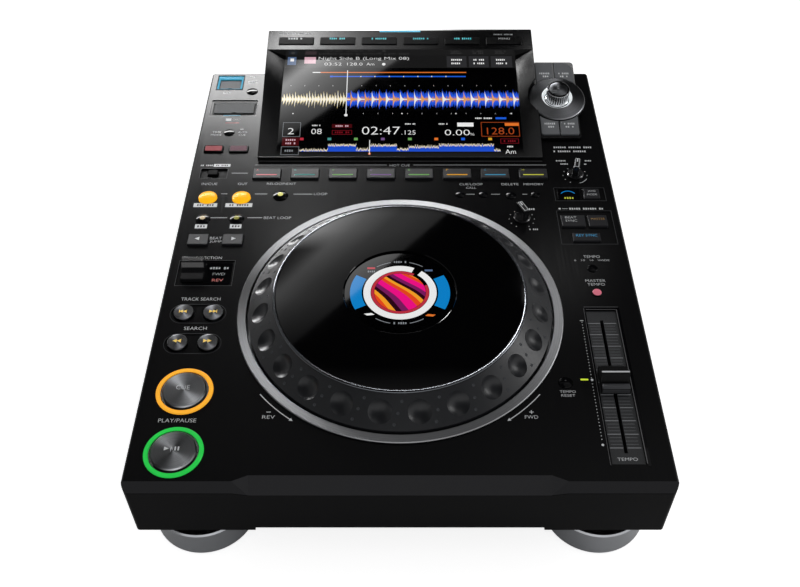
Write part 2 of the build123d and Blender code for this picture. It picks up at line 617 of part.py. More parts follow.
def jog_bezel():
    r0, r1 = BEZEL_R
    section = [(r0, -1.5), (r0 + 0.5, -1.5), (r0 + 0.5, 0.0), (r1, 0.0), (r1, BEZEL_TALL - 0.5),
               (r1 - 0.5, BEZEL_TALL), (r0 + 0.5, BEZEL_TALL), (r0, BEZEL_TALL - 0.5)]
    return turned(section, *JOG)


# ---------------------------------------------------------------- tempo slider
def slider_plate():
    x, y = SLIDER
    plate = slab(x + 0.5, y, 20.4, 123.6, -WALL, -RECESS_DEEP)
    plate += slab(x + 0.5, y, 24.0, 127.0, -4.5, -WALL)
    track = slab(x, y, 13.0, 126.0, -14.5, -4.5)
    channel = slab(x, y, 4.6, 114.0, -13.0, -4.5)
    return plate + track - channel - slab(x, y, SLOT_WIDE, SLOT_LONG, -5.0, 0.0)


def tempo_slider():
    """Cap with a high middle ridge and a scoop each side, on a blade with a carriage."""
    x, y = SLIDER
    half = 9.6
    section = [(-half, 0.3), (-half, 4.6), (-half + 1.0, 5.4), (-4.0, 3.8), (-1.6, 9.8), (-0.9, 10.4),
               (0.9, 10.4), (1.6, 9.8), (4.0, 3.8), (half - 1.0, 5.4), (half, 4.6), (half, 0.3)]
    cap = side_prism([(y + u, z) for u, z in section], x - 9.0, x + 9.0)
    blade = slab(x, y, SLOT_WIDE - 0.6, STEM_LONG, -11.5, 0.5)
    carriage = slab(x, y, 4.0, 9.0, -11.8, -8.6)
    return cap + blade + carriage


# ---------------------------------------------------------------- levers, knobs and covers
def direction_lever():
    x, y = LEVER
    drum = along_x(y, LEVER_AXIS_Z, LEVER_DRUM_R, x - LEVER_WIDE / 2, x + LEVER_WIDE / 2)
    drum &= block(x - 20, x + 20, y - 20, y + 20, LEVER_AXIS_Z - 3.0, 5)
    section = [(-5.0, -0.8), (-6.6, 0.1), (-9.5, 0.9), (-9.5, 2.3), (-8.4, 2.9), (-3.5, 3.6), (0.2, 5.4),
               (2.0, 8.6), (2.8, 9.2), (6.6, 9.2), (7.8, 8.4), (9.5, 0.9), (6.6, 0.1), (5.0, -0.8)]
    paddle = side_prism([(y + u, z) for u, z in section], x - LEVER_WIDE / 2, x + LEVER_WIDE / 2)
    pin = along_x(y, LEVER_AXIS_Z, LEVER_PIN_R, x - LEVER_WIDE / 2 - 2.6, x + LEVER_WIDE / 2 + 2.6)
    return drum + paddle + pin


def pointer_knob(x, y, turn):
    skirt = soften(disc(0, 0, 6.3, 0.4, 2.6), 0.6)
    body = disc(0, 0, 5.2, 2.6, 3.6)
    blade = slab(0, 0, 4.6, 11.6, 3.6, KNOB_TALL, 1.2)
    blade = chamfer(blade.edges().group_by(Axis.Z)[-1], 0.8)
    shaft = disc(0, 0, KNOB_SHAFT_R, -9.6, 0.4)
    return Pos(x, y, 0) * Rot(0, 0, turn) * (skirt + body + blade + shaft)


def cover_axis(well):
    """Where a cover's hinge pin lies: y and z."""
    x, y, wide, long, top = well
    return y + long / 2 - COVER_THICK / 2 - COVER_GAP, top - COVER_THICK / 2


def hinged_cover(well, notch_r):
    """Flat cover with a round back edge on its hinge line, side pins and a finger notch in front."""
    x, y, wide, long, top = well
    axis_y, axis_z = cover_axis(well)
    half = wide / 2 - COVER_GAP
    plate = block(x - half, x + half, y - long / 2 + COVER_GAP, axis_y, top - COVER_THICK, top)
    barrel = along_x(axis_y, axis_z, COVER_THICK / 2, x - half, x + half)
    pin = along_x(axis_y, axis_z, COVER_PIN_R, x - half - 1.2, x + half + 1.2)
    notch = disc(x, y - long / 2 + COVER_GAP - notch_r * 0.72, notch_r, -10, 10)
    return plate + barrel + pin - notch


def cover_frame(frame, well, low, top):
    """Frame round a cover, with a shallow well and blind bores for the pins."""
    x, y, wide, long, cover_top = well
    fx, fy, f_wide, f_long = frame
    axis_y, axis_z = cover_axis(well)
    body = slab(fx, fy, f_wide, f_long, low, top)
    body -= slab(x, y, wide, long, cover_top - COVER_THICK - 0.6, 5)
    reach = wide / 2 - COVER_GAP + 1.3
    body -= along_x(axis_y, axis_z, COVER_PIN_R + HUB_FIT, x - reach, x + reach)
    return body


def media_slots():
    """Frames and sockets of the stick port and the card slot."""
    x, y = USB_WELL[0], USB_WELL[1]
    usb = cover_frame(USB_FRAME, USB_WELL, -5.4, 0.3)
    tray_x, tray_y, tray_wide, tray_long = USB_TRAY
    usb -= slab(tray_x, tray_y, tray_wide, tray_long, USB_WELL[4], 5)
    usb += slab(x, y - 1.0, 15.5, 8.2, -20.0, -5.4)
    usb -= slab(x, y - 1.0, 12.6, 5.2, -18.5, 0)
    x, y = CARD_WELL[0], CARD_WELL[1]
    card = cover_frame(CARD_FRAME, CARD_WELL, -5.0, -0.8)
    card += slab(x, y - 1.0, 28.0, 5.4, -30.0, -5.0)
    card -= slab(x, y - 1.0, 24.5, 2.6, -28.5, 0)
    return usb, card


# ---------------------------------------------------------------- rotary selector
def key_outline(x0, x1, y0, y1, corner):
    """A selector key seen square on: a rectangle with one rounded outer corner, cut back round the ring."""
    face = Pos((x0 + x1) / 2, (y0 + y1) / 2) * Rectangle(x1 - x0, y1 - y0)
    outer = face.vertices().sort_by(lambda v: hypot(v.X, v.Y))[-1]
    face = fillet(outer, corner)
    return face - Circle(SELECTOR_RING_R + 0.7)


SELECTOR_KEYS = {
    "selector_keys_back": [(-15.3, -0.7, 10.0, 41.5, 2.0), (0.7, 16.0, 10.0, 41.5, 8.0)],
    "selector_keys_front": [(-15.3, -0.5, -38.5, -10.0, 2.0), (0.5, 15.5, -38.5, -10.0, 2.0)],
}


def selector_key(place):
    face = key_outline(*place)
    top = -PLATE_THICK - FLANGE_GAP
    cap = Pos(0, 0, top) * extrude(face, 1.3 - top)
    cap = chamfer(cap.faces().sort_by(Axis.Z)[-1].edges(), 0.4)
    flange = Pos(0, 0, top - 1.0) * extrude(offset(face, 0.6) & pedestal_outline(PEDESTAL_WALL + 0.2), 1.0)
    mid = face.center()
    stem = disc(mid.X, mid.Y, STEM_R, -4.4, top)
    return on_selector * (cap + flange + stem)


def pedestal_outline(inset):
    front = Pos(0.1, -20.5) * RectangleRounded(33.8, 42.0, 2.5)
    back = Pos(0.3, 22.0) * RectangleRounded(34.2, 43.0, 3.0)
    ring = Circle(SELECTOR_RING_R + 0.5)
    shape = front + back + ring
    return offset(shape, -inset) if inset else shape


def selector_pedestal():
    body = Pos(0, 0, -60) * extrude(pedestal_outline(0.0), 60)
    body -= Pos(0, 0, -61) * extrude(pedestal_outline(PEDESTAL_WALL), 61 - PLATE_THICK)
    holes = [Pos(0, 0, -10) * extrude(offset(key_outline(*place), CLEAR), 20)
             for places in SELECTOR_KEYS.values() for place in places]
    body = body - holes - disc(0, 0, KNOB_SHAFT_R + 0.4, -10, 10)
    return (on_selector * body) & block(80, 160, 300, 440, 0, 60)


def selector_ring():
    section = [(10.6, 0.0), (SELECTOR_RING_R, 0.0), (SELECTOR_RING_R, 1.6), (SELECTOR_RING_R - 0.7, 2.3),
               (13.4, 3.8), (12.6, 3.8), (10.6, 1.6)]
    return on_selector * turned(section)


def selector_knob():
    bore = KNOB_SHAFT_R + HUB_FIT
    section = [(0, 11.0), (bore, 11.0), (bore, 2.0), (10.0, 2.0), (10.0, 3.0), (9.0, 4.4), (8.6, 12.4),
               (8.0, 13.2), (0, 13.2)]
    return on_selector * turned(section)


def selector_shaft():
    return on_selector * disc(0, 0, KNOB_SHAFT_R, -6.0, 10.9)


# ---------------------------------------------------------------- inner boards
BOARD_STAND_Z = -41.0
MAIN_BOARD = (-20.0, 330.0, 190.0, 130.0)
POWER_BOARD = (118.0, 235.0, 70.0, 130.0)
MAIN_STANDS = [(-20.0 + sx * 88, 330.0 + sy * 58) for sx in (-1, 1) for sy in (-1, 1)]
POWER_STANDS = [(118.0 + sx * 29, 235.0 + sy * 58) for sx in (-1, 1) for sy in (-1, 1)]


def switch(x, y):
    return slab(x, y, SWITCH_SIDE, SWITCH_SIDE, BOARD_TOP, BOARD_TOP + SWITCH_TALL)


def control_board():
    """Boards under the deck, the header strip and the selector, with a switch below every button."""
    z0, z1 = BOARD_TOP - BOARD_THICK, BOARD_TOP
    board = block(-158, -96, 12, 415, z0, z1) + block(96, 158, 12, 318, z0, z1)
    board += block(-158, 158, 240, 296, z0, z1)
    switches = []
    for tall, places in ROUND_BUTTONS.values():
        switches += [switch(x, y) for x, y, r in places]
    for tall, corner, places in KEYS.values():
        switches += [switch(x, y) for x, y, wide, long in places]
    switches += [switch(x, y) for x, y in (PLAY, CUE)]
    pots = [slab(x, y, 11.0, 11.0, BOARD_TOP, -5.8) for x, y, turn in KNOBS.values()]
    cuts = [disc(*JOG, BEZEL_R[0] + 5.5, z0 - 1, z1 + 1)]
    cuts += [slab(SLIDER[0], SLIDER[1], 15.0, 129.0, z0 - 1, z1 + 1)]
    cuts += [slab(LEVER[0], LEVER[1], 24.0, 27.0, z0 - 1, z1 + 1)]
    cuts += [slab(USB_WELL[0], USB_WELL[1], 19.0, 12.0, z0 - 1, z1 + 1)]
    cuts += [slab(CARD_WELL[0], CARD_WELL[1], 30.0, 8.0, z0 - 1, z1 + 1)]
    cuts += [disc(x, y, BOSS_R + 0.8, z0 - 1, z1 + 1) for x, y in BOSSES]
    cuts += [disc(x, y, KNOB_SHAFT_R + HUB_FIT, -9.9, 0) for x, y, turn in KNOBS.values()]
    deck = board + switches + pots - cuts
    header = slab(0, HEADER_KEY_MID, 2 * POD_X - 2 * POD_WALL - 2, 11.0, -10.6, -9.0)
    header += [slab(x, HEADER_KEY_MID, SWITCH_SIDE, SWITCH_SIDE, -9.0, -6.3) for x in header_keys_x]
    pedestal = slab(0.0, 0.0, 25.0, 62.0, -9.0, -7.6)
    for places in SELECTOR_KEYS.values():
        for place in places:
            mid = key_outline(*place).center()
            pedestal += slab(mid.X, mid.Y, SWITCH_SIDE, SWITCH_SIDE, -7.6, -5.5)
    pedestal += slab(0, 0, 13.0, 13.0, -7.6, -3.0)
    pedestal -= disc(0, 0, KNOB_SHAFT_R + HUB_FIT, -12, 0)
    return deck, on_header * header, on_selector * pedestal


def main_board():
    x, y, wide, long = MAIN_BOARD
    top = BOARD_STAND_Z + BOARD_THICK
    board = slab(x, y, wide, long, BOARD_STAND_Z, top, 2.0)
    chips = [slab(x + dx, y + dy, side, side, top, top + 1.8)
             for dx, dy, side in ((-40, 10, 26), (15, 25, 18), (15, -20, 14), (50, 5, 12))]
    sink = slab(x - 40, y + 10, 34, 34, top + 1.8, top + 4.0)
    fins = [slab(x - 40 + dx, y + 10, 1.6, 34, top + 3.8, top + 14.0) for dx in range(-15, 16, 5)]
    plugs = [slab(x + dx, y + 58, 18, 7, top, top + 8.0) for dx in (-60, -20, 20, 60)]
    return board + chips + sink + fins + plugs


def power_supply():
    x, y, wide, long = POWER_BOARD
    top = BOARD_STAND_Z + BOARD_THICK
    board = slab(x, y, wide, long, BOARD_STAND_Z, top, 2.0)
    transformer = slab(x + 5, y + 12, 32, 28, top, top + 20)
    cans = [disc(x + dx, y + dy, 8.0, top, top + 22) for dx, dy in ((-22, -22), (-22, 0), (-22, 22))]
    plate = slab(x + 18, y - 25, 3.0, 50, top, top + 20)
    plugs = [slab(x, y + dy, 22, 8, top, top + 10) for dy in (-58, 58)]
    return board + transformer + cans + plate + plugs


# ---------------------------------------------------------------- write every node
os.makedirs("parts", exist_ok=True)

save("cabinet", cabinet())
save("base_plate", base_plate())
save("case_screws", *case_screws())
save("foot_cups", *foot_cups())
save("foot_pads", *foot_pads())
save("display_housing", display_housing())
save("display_glass", display_glass())
save("display_panel", display_panel())
save("rear_cover", rear_cover())
save("socket_panel", socket_panel())
save("rear_sockets", *rear_sockets())
save("mains_inlet", mains_inlet())
save("power_button", power_button())
save("jog_ring", jog_ring())
save("jog_top_plate", jog_top_plate())
save("jog_hub", jog_hub())
save("jog_bearing", jog_bearing())
save("jog_display", jog_display())
save("jog_bezel", jog_bezel())
save("slider_plate", slider_plate())
save("tempo_slider", tempo_slider())
save("direction_lever", direction_lever())
save("usb_lid", hinged_cover(USB_WELL, 5.0))
save("card_door", hinged_cover(CARD_WELL, 4.0))
save("media_slots", *media_slots())
save("selector_pedestal", selector_pedestal())
save("selector_ring", selector_ring())
save("selector_shaft", selector_shaft())
save("selector_knob", selector_knob())
save("control_board", *control_board())
save("main_board", main_board(), socket_board())
save("power_supply", power_supply())
save("play_button", lit_button(*PLAY))
save("cue_button", lit_button(*CUE))
save("light_rings", light_ring(*PLAY), light_ring(*CUE))
save("header_keys_left", *[header_key(x) for x in header_keys_x[:3]])
save("header_keys_right", *[header_key(x) for x in header_keys_x[3:]])
for node, (tall, places) in ROUND_BUTTONS.items():
    save(node, *[round_cap(x, y, r, tall) for x, y, r in places])
for node, (tall, corner, places) in KEYS.items():
    save(node, *[square_cap(x, y, wide, long, tall, corner) for x, y, wide, long in places])
for node, places in SELECTOR_KEYS.items():
    save(node, *[selector_key(place) for place in places])
for node, (x, y, turn) in KNOBS.items():
    save(node, pointer_knob(x, y, turn))
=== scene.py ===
from math import atan2, cos, pi, radians, sin

import bmesh
import bpy
from mathutils import Matrix, Vector


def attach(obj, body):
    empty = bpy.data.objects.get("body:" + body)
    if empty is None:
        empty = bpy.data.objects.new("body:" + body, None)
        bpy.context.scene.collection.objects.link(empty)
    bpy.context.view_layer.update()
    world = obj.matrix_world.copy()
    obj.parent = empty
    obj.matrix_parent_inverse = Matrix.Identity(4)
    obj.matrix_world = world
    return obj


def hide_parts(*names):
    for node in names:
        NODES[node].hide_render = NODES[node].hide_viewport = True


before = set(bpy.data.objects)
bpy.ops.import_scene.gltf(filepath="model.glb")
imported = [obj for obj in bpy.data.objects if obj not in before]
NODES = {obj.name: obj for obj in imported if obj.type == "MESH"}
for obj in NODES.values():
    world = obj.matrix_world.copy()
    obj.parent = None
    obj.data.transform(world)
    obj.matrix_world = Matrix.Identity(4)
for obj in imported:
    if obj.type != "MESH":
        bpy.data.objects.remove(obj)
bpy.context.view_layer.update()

# Everything on the player is laid out in millimetres from the middle of the front wall, on the deck:
# x to the right, y back, z up. These frames turn that, or a slope on the player, into metres.
FRONT_WALL = -0.2265
DECK_TOP = 0.083
DECK = Matrix.Translation((0, FRONT_WALL, DECK_TOP)) @ Matrix.Scale(0.001, 4)


def slope(x, y, z, tilt):
    """A frame on a slope that rises towards the back."""
    return DECK @ Matrix.Translation((x, y, z)) @ Matrix.Rotation(tilt, 4, "X")


SCREEN = slope(0, 298.9, 3.8, atan2(21.2, 111.1))
HEADER = slope(0, 409.4, 31.0, atan2(4.0, 23.0))
SELECTOR = slope(130.0, 363.5, 12.0, radians(11))
REAR = slope(0, 446.0, -30.0, radians(-90))      # the socket wall: x across, y down, z out
JOG = (0.0, 140.0)
ON_JOG = DECK @ Matrix.Translation((*JOG, 0))


# ------------------------------------------------------------------ colours and materials
def paint(hex_code):
    """An sRGB hex colour as the linear values that a shader takes."""
    out = []
    for i in (0, 2, 4):
        c = int(hex_code[i:i + 2], 16) / 255
        out.append(c / 12.92 if c <= 0.04045 else ((c + 0.055) / 1.055) ** 2.4)
    return (*out, 1.0)


def feed(node, inputs):
    """Set a node's inputs, in order or by name: to values, hex colours, other nodes or nodes' outputs."""
    for key, value in inputs.items() if isinstance(inputs, dict) else enumerate(inputs):
        if isinstance(value, bpy.types.Node):
            value = next(out for out in value.outputs if out.enabled)
        if isinstance(value, bpy.types.NodeSocket):
            node.id_data.links.new(value, node.inputs[key])
        else:
            node.inputs[key].default_value = paint(value) if isinstance(value, str) else value


def add(tree, kind, inputs=(), stops=(), steps=False, **settings):
    """Add a node: its kind, with any operation after a space, its inputs, its settings, and its ramp's
    stops, which steps keeps from blending. A MapRange takes a value, the span it comes from and the span
    it goes to."""
    kind, *operation = kind.split()
    node = tree.nodes.new("ShaderNode" + kind)
    if operation:
        node.operation = operation[0]
    for key, value in settings.items():
        setattr(node, key, value)
    feed(node, inputs)
    if stops:
        marks = node.color_ramp.elements
        while len(marks) < len(stops):
            marks.new(0.5)
        for mark, (place, tone) in zip(marks, stops):
            mark.position = place
            tone = paint(tone) if isinstance(tone, str) else tone
            mark.color = tone if isinstance(tone, tuple) else (tone, tone, tone, 1)
        node.color_ramp.interpolation = "CONSTANT" if steps else "LINEAR"
    return node


def surface(name, colour, rough, **values):
    """A new material with a Principled surface. Returns the material, its tree and the surface."""
    made = bpy.data.materials.new(name)
    made.use_nodes = True
    made.diffuse_color = paint(colour)
    body = made.node_tree.nodes["Principled BSDF"]
    feed(body, {"Base Color": colour, "Roughness": rough})
    feed(body, {key.replace("_", " "): value for key, value in values.items()})
    return made, made.node_tree, body


def grain(tree, per_mm, detail=2.0, stretch=(1, 1, 1)):
    """Noise on the object's own coordinates, so many cells to the millimetre."""
    where = add(tree, "TexCoord").outputs["Object"]
    scale = tuple(s * per_mm * 1000 for s in stretch)
    where = add(tree, "Mapping", {"Vector": where, "Scale": scale})
    return add(tree, "TexNoise", {"Vector": where, "Scale": 1.0, "Detail": detail})


def mottle(tree, texture, colour, shade, low=0.3):
    """A colour that a texture darkens in places, down to a share of itself."""
    dark = tuple(c * shade for c in paint(colour)[:3]) + (1,)
    return add(tree, "ValToRGB", [texture], [(low, dark), (1 - low, colour)])


def roughen(tree, body, texture, low, high, bump=0.0, depth=0.00006):
    """Let a texture vary the roughness, and with bump raise the surface a little."""
    feed(body, {"Roughness": add(tree, "ValToRGB", [texture], [(0.3, low), (0.7, high)])})
    if bump:
        raised = add(tree, "Bump", {"Height": texture, "Strength": bump, "Distance": depth})
        feed(body, {"Normal": raised})


def local_mm(tree, where):
    """The object's coordinates turned into the millimetres of one of the frames above."""
    place, turn, scale = where.decompose()
    coords = add(tree, "TexCoord").outputs["Object"]
    return add(tree, "Mapping", {"Vector": coords, "Location": tuple(place), "Scale": tuple(scale),
                                 "Rotation": tuple(turn.to_euler())}, vector_type="TEXTURE")


def moulded_abs_hairline():
    """Black ABS panel, moulded with a fine hairline that runs front to back: a satin streaked sheen. The
    front wall has painted shade and the bevel along the front a painted highlight.
    """
    made, tree, body = surface("black_ABS_hairline", "101011", 0.32, IOR=1.53, Specular_IOR_Level=0.05)
    # lines about 0.35 mm apart and 60 mm long; the real ones are finer, and would not show
    roughen(tree, body, grain(tree, 1.0, 3.0, (2.8, 0.016, 0.3)), 0.15, 0.24, 0.06, 0.0001)
    # the bevel along the front is painted paler, a painted highlight, and the front wall is painted darker
    # than the deck, a painted shade: the bevel lies behind the front wall and below the deck
    part = add(tree, "SeparateXYZ", [local_mm(tree, DECK)])
    behind = add(tree, "Math GREATER_THAN", [part.outputs["Y"], 0.15])
    near = add(tree, "Math LESS_THAN", [part.outputs["Y"], 8.0])
    below = add(tree, "Math LESS_THAN", [part.outputs["Z"], -0.15])
    bevel = add(tree, "Math MULTIPLY", [behind, below])
    bevel = add(tree, "Math MULTIPLY", [bevel, near])
    # painted shade on the front wall; the deck's own black behind it
    tone = add(tree, "Mix", {0: behind, 6: "08080a", 7: "111112"}, data_type="RGBA")
    # painted highlight on the bevel
    feed(body, {"Base Color": add(tree, "Mix", {0: bevel, 6: tone, 7: "343436"}, data_type="RGBA")})
    return made


def moulded_abs_satin(name="black_ABS_satin", colour="101011", rough=0.3, shine=0.2):
    """Black ABS with a light spark-eroded texture: satin, with a soft sparkle of 0.3 mm grain."""
    made, tree, body = surface(name, colour, rough, IOR=1.5, Specular_IOR_Level=shine)
    roughen(tree, body, grain(tree, 3.0), rough - 0.05, rough + 0.06, 0.08, 0.00005)
    return made


def polished_acrylic(name, colour, ior, shine):
    """Black acrylic, cast and polished: a deep mirror-like gloss with a trace of fine wipe marks."""
    made, tree, body = surface(name, colour, 0.03, IOR=ior, Specular_IOR_Level=shine)
    roughen(tree, body, grain(tree, 0.03, 3.0), 0.02, 0.055)
    return made


def silicone_rubber(name="black_silicone", colour="131314", rough=0.45, shine=0.25):
    """Silicone rubber: matte, with a dusty 0.2 mm grain."""
    made, tree, body = surface(name, colour, rough, IOR=1.43, Specular_IOR_Level=shine)
    roughen(tree, body, grain(tree, 5.0), rough - 0.06, rough + 0.08, 0.15)
    return made


def satin_aluminium(name, colour, rough):
    """Bead-blasted and lacquered aluminium: pale, with a broad soft highlight."""
    made, tree, body = surface(name, colour, rough, Metallic=1.0)
    roughen(tree, body, grain(tree, 4.0), rough - 0.04, rough + 0.05)
    return made


def chromed_brass(name, colour, rough):
    """Plated brass: almost a mirror, with the faintest haze."""
    made, tree, body = surface(name, colour, rough, Metallic=1.0)
    roughen(tree, body, grain(tree, 0.5), rough - 0.03, rough + 0.04)
    return made


def spun_metal(name, centre, colour, where=DECK, rough=0.3, lines_per_mm=2.0, aniso=0.8, above=None, painted_fan=0.0,
               heading=112.0, narrow=5.0, painted_lit_side=False):
    """Aluminium turned on a lathe: fine rings round the centre, and the shine in rays that they give under
    lamps, deepened by painted highlight and shade.

    centre is in the frame's millimetres. Below the level named by above, the part is black plastic. The fan
    setting paints shade into the colour on the rays that lie across the heading, in degrees, leaving rays of
    painted highlight along it, and narrow sets how thin the bright rays are. Set to one side instead, it
    paints one broad side as highlight and the far side as shade.
    """
    made, tree, body = surface(name, colour, rough, Metallic=1.0, Anisotropic=aniso)
    turn = tuple(where.decompose()[1].to_euler())
    at = add(tree, "VectorMath ADD", [local_mm(tree, where), (-centre[0], -centre[1], 0)])
    flat = add(tree, "VectorMath MULTIPLY", [at, (1, 1, 0)])
    ring = add(tree, "VectorMath CROSS_PRODUCT", [flat, (0, 0, 1)])
    ring = add(tree, "VectorRotate", {"Vector": ring, "Rotation": turn}, rotation_type="EULER_XYZ")
    ring = add(tree, "VectorTransform", [ring], convert_from="OBJECT", convert_to="WORLD")
    feed(body, {"Tangent": add(tree, "VectorMath NORMALIZE", [ring])})
    radius = add(tree, "VectorMath LENGTH", [flat])
    rings = add(tree, "TexNoise", {"W": radius, "Scale": lines_per_mm, "Detail": 2.0}, noise_dimensions="1D")
    tone = mottle(tree, rings, colour, 0.72)
    part = add(tree, "SeparateXYZ", [at])
    # painted highlight in rays along the heading, painted shade across it
    if painted_fan:
        angle = add(tree, "Math ARCTAN2", [part.outputs["Y"], part.outputs["X"]])
        off = add(tree, "Math SUBTRACT", [angle, radians(heading)])
        painted_spokes = add(tree, "Math COSINE", [off])
        if not painted_lit_side:
            painted_spokes = add(tree, "Math ABSOLUTE", [painted_spokes])
        painted_spokes = add(tree, "Math POWER", [painted_spokes, narrow])
        depth = add(tree, "MapRange", [painted_spokes, -1.0 if painted_lit_side else 0.0, 1.0, 1.0 - painted_fan, 1.0])
        tone = add(tree, "VectorMath MULTIPLY", [tone, depth])
    if above is not None:
        metal = add(tree, "Math GREATER_THAN", [part.outputs["Z"], above])
        feed(body, {"Metallic": metal})
        tone = add(tree, "Mix", {0: metal, 6: "0b0b0c", 7: tone}, data_type="RGBA")
    feed(body, {"Base Color": tone})
    return made


def knurled_chrome():
    """Chrome on a knurled grip: bright on the ridges, with painted shade, near black, in the 0.8 mm grooves
    between them.
    """
    made, tree, body = surface("knurled_chrome", "c8cacd", 0.2, Metallic=1.0)
    flat = add(tree, "VectorMath MULTIPLY", [local_mm(tree, SELECTOR), (1, 1, 0)])
    radius = add(tree, "VectorMath LENGTH", [flat])
    unshaded_ridge = add(tree, "MapRange", [radius, 8.85, 9.15])
    # painted shade, near black, in the grooves inside the ridges' radius
    feed(body, {"Base Color": add(tree, "Mix", {0: unshaded_ridge, 6: "0a0a0b", 7: "c8cacd"}, data_type="RGBA")})
    roughen(tree, body, grain(tree, 0.5), 0.17, 0.24)
    return made


def lit_plastic(name, colour, strength, base=None, shine=0.1):
    """Translucent plastic with a lamp behind it: an even glow under a faint surface shine."""
    made, tree, body = surface(name, base or colour, 0.3, IOR=1.5, Specular_IOR_Level=shine,
                               Emission_Strength=strength)
    feed(body, {"Emission Color": mottle(tree, grain(tree, 0.25), colour, 0.86)})
    roughen(tree, body, grain(tree, 1.2), 0.25, 0.35)
    return made


def display_glass(name, strength, ior=1.8, shine=1.0):
    """The glass over a display: black, and a mirror where nothing under it is lit."""
    return surface(name, "030304", 0.04, IOR=ior, Specular_IOR_Level=shine, Emission_Strength=strength)


def lit_pixels(name, colour, strength):
    """A lit patch of a display under its glass: flat light with the glass's own mirror shine over it."""
    made, tree, body = display_glass(name, strength)
    # rows of picture elements, drawn 0.5 mm apart; the real ones are finer, and would not show
    rows = grain(tree, 1.0, 0.0, (2.0, 2.0, 0.1))
    feed(body, {"Emission Color": mottle(tree, rows, colour, 0.9, 0.35)})
    return made


def pad_print(name, colour, glow=0.0):
    """Pad-printed ink: thin, matte and slightly uneven. A glow above 0 makes the ink shine with painted
    light, though no lamp is behind it.
    """
    made, tree, body = surface(name, colour, 0.6, IOR=1.45, Emission_Strength=glow)
    ink = mottle(tree, grain(tree, 2.0), colour, 0.85, 0.35)
    feed(body, {"Base Color": ink})
    # the glow is painted light on the print
    if glow:
        feed(body, {"Emission Color": ink})
    return made


def circuit_laminate():
    """Glass-epoxy circuit board: green solder mask over faint copper runs."""
    made, tree, body = surface("green_solder_mask", "0f4a2a", 0.35, IOR=1.5)
    runs = grain(tree, 0.4, 1.0, (1, 0.15, 1))
    feed(body, {"Base Color": add(tree, "ValToRGB", [runs], [(0.48, "0d4226"), (0.52, "17603a")])})
    roughen(tree, body, grain(tree, 1.0), 0.3, 0.42)
    return made


def ring_light(name, near, far, edge_y):
    """Clear acrylic light ring: one colour in front of a line across the deck, another behind it."""
    made, tree, body = surface(name, near, 0.25, IOR=1.49, Specular_IOR_Level=0.12, Emission_Strength=0.8)
    part = add(tree, "SeparateXYZ", [local_mm(tree, DECK)])
    behind = add(tree, "Math GREATER_THAN", [part.outputs["Y"], edge_y])
    tone = add(tree, "Mix", {0: behind, 6: near, 7: far}, data_type="RGBA")
    cloud = add(tree, "MapRange", [grain(tree, 0.15), 0.3, 0.7, 0.82, 0.95])
    glow = add(tree, "VectorMath MULTIPLY", [tone, cloud])
    feed(body, {"Base Color": tone, "Emission Color": glow})
    return made


def along_screen(tree):
    """The screen's x and y in millimetres, and noise that runs along x."""
    part = add(tree, "SeparateXYZ", [local_mm(tree, SCREEN)])
    x, y = part.outputs["X"], part.outputs["Y"]
    return x, y, add(tree, "TexNoise", {"W": x, "Scale": 1.1, "Detail": 3.0}, noise_dimensions="1D")


def wave_colours(tree, tall, height, stops, steps=False):
    """Colours from a wave's edge inwards, a stop of 1 being 10 mm deep, and black outside it."""
    depth = add(tree, "Math SUBTRACT", [tall, height])
    depth = add(tree, "Math MULTIPLY", [depth, 0.1])
    return add(tree, "ValToRGB", [depth], [(0.0, "000000"), *stops], steps)


def song_outline():
    """The whole song's outline on the display, drawn from noise: blue under a cream edge."""
    made, tree, body = display_glass("display_wave_song", 0.9)
    x, y, noise = along_screen(tree)
    along = add(tree, "MapRange", [x, -80.0, 80.0])
    loudness = [(0.0, 0.1), (0.14, 0.9), (0.28, 0.2), (0.35, 0.86), (0.484, 0.24), (0.541, 0.62),
                (0.694, 0.92), (0.968, 0.1)]
    song = add(tree, "ValToRGB", [along], loudness, steps=True)
    jag = add(tree, "MapRange", [noise, 0.4, 0.7, 0.0, 2.6])
    tall = add(tree, "Math MULTIPLY_ADD", [song, 6.6, jag])
    up = add(tree, "Math ADD", [y, -6.4])
    tone = wave_colours(tree, tall, up, [(0.001, "f1e3c0"), (0.12, "f1e3c0"), (0.15, "1c4fd0")], steps=True)
    feed(body, {"Emission Color": tone})
    return made


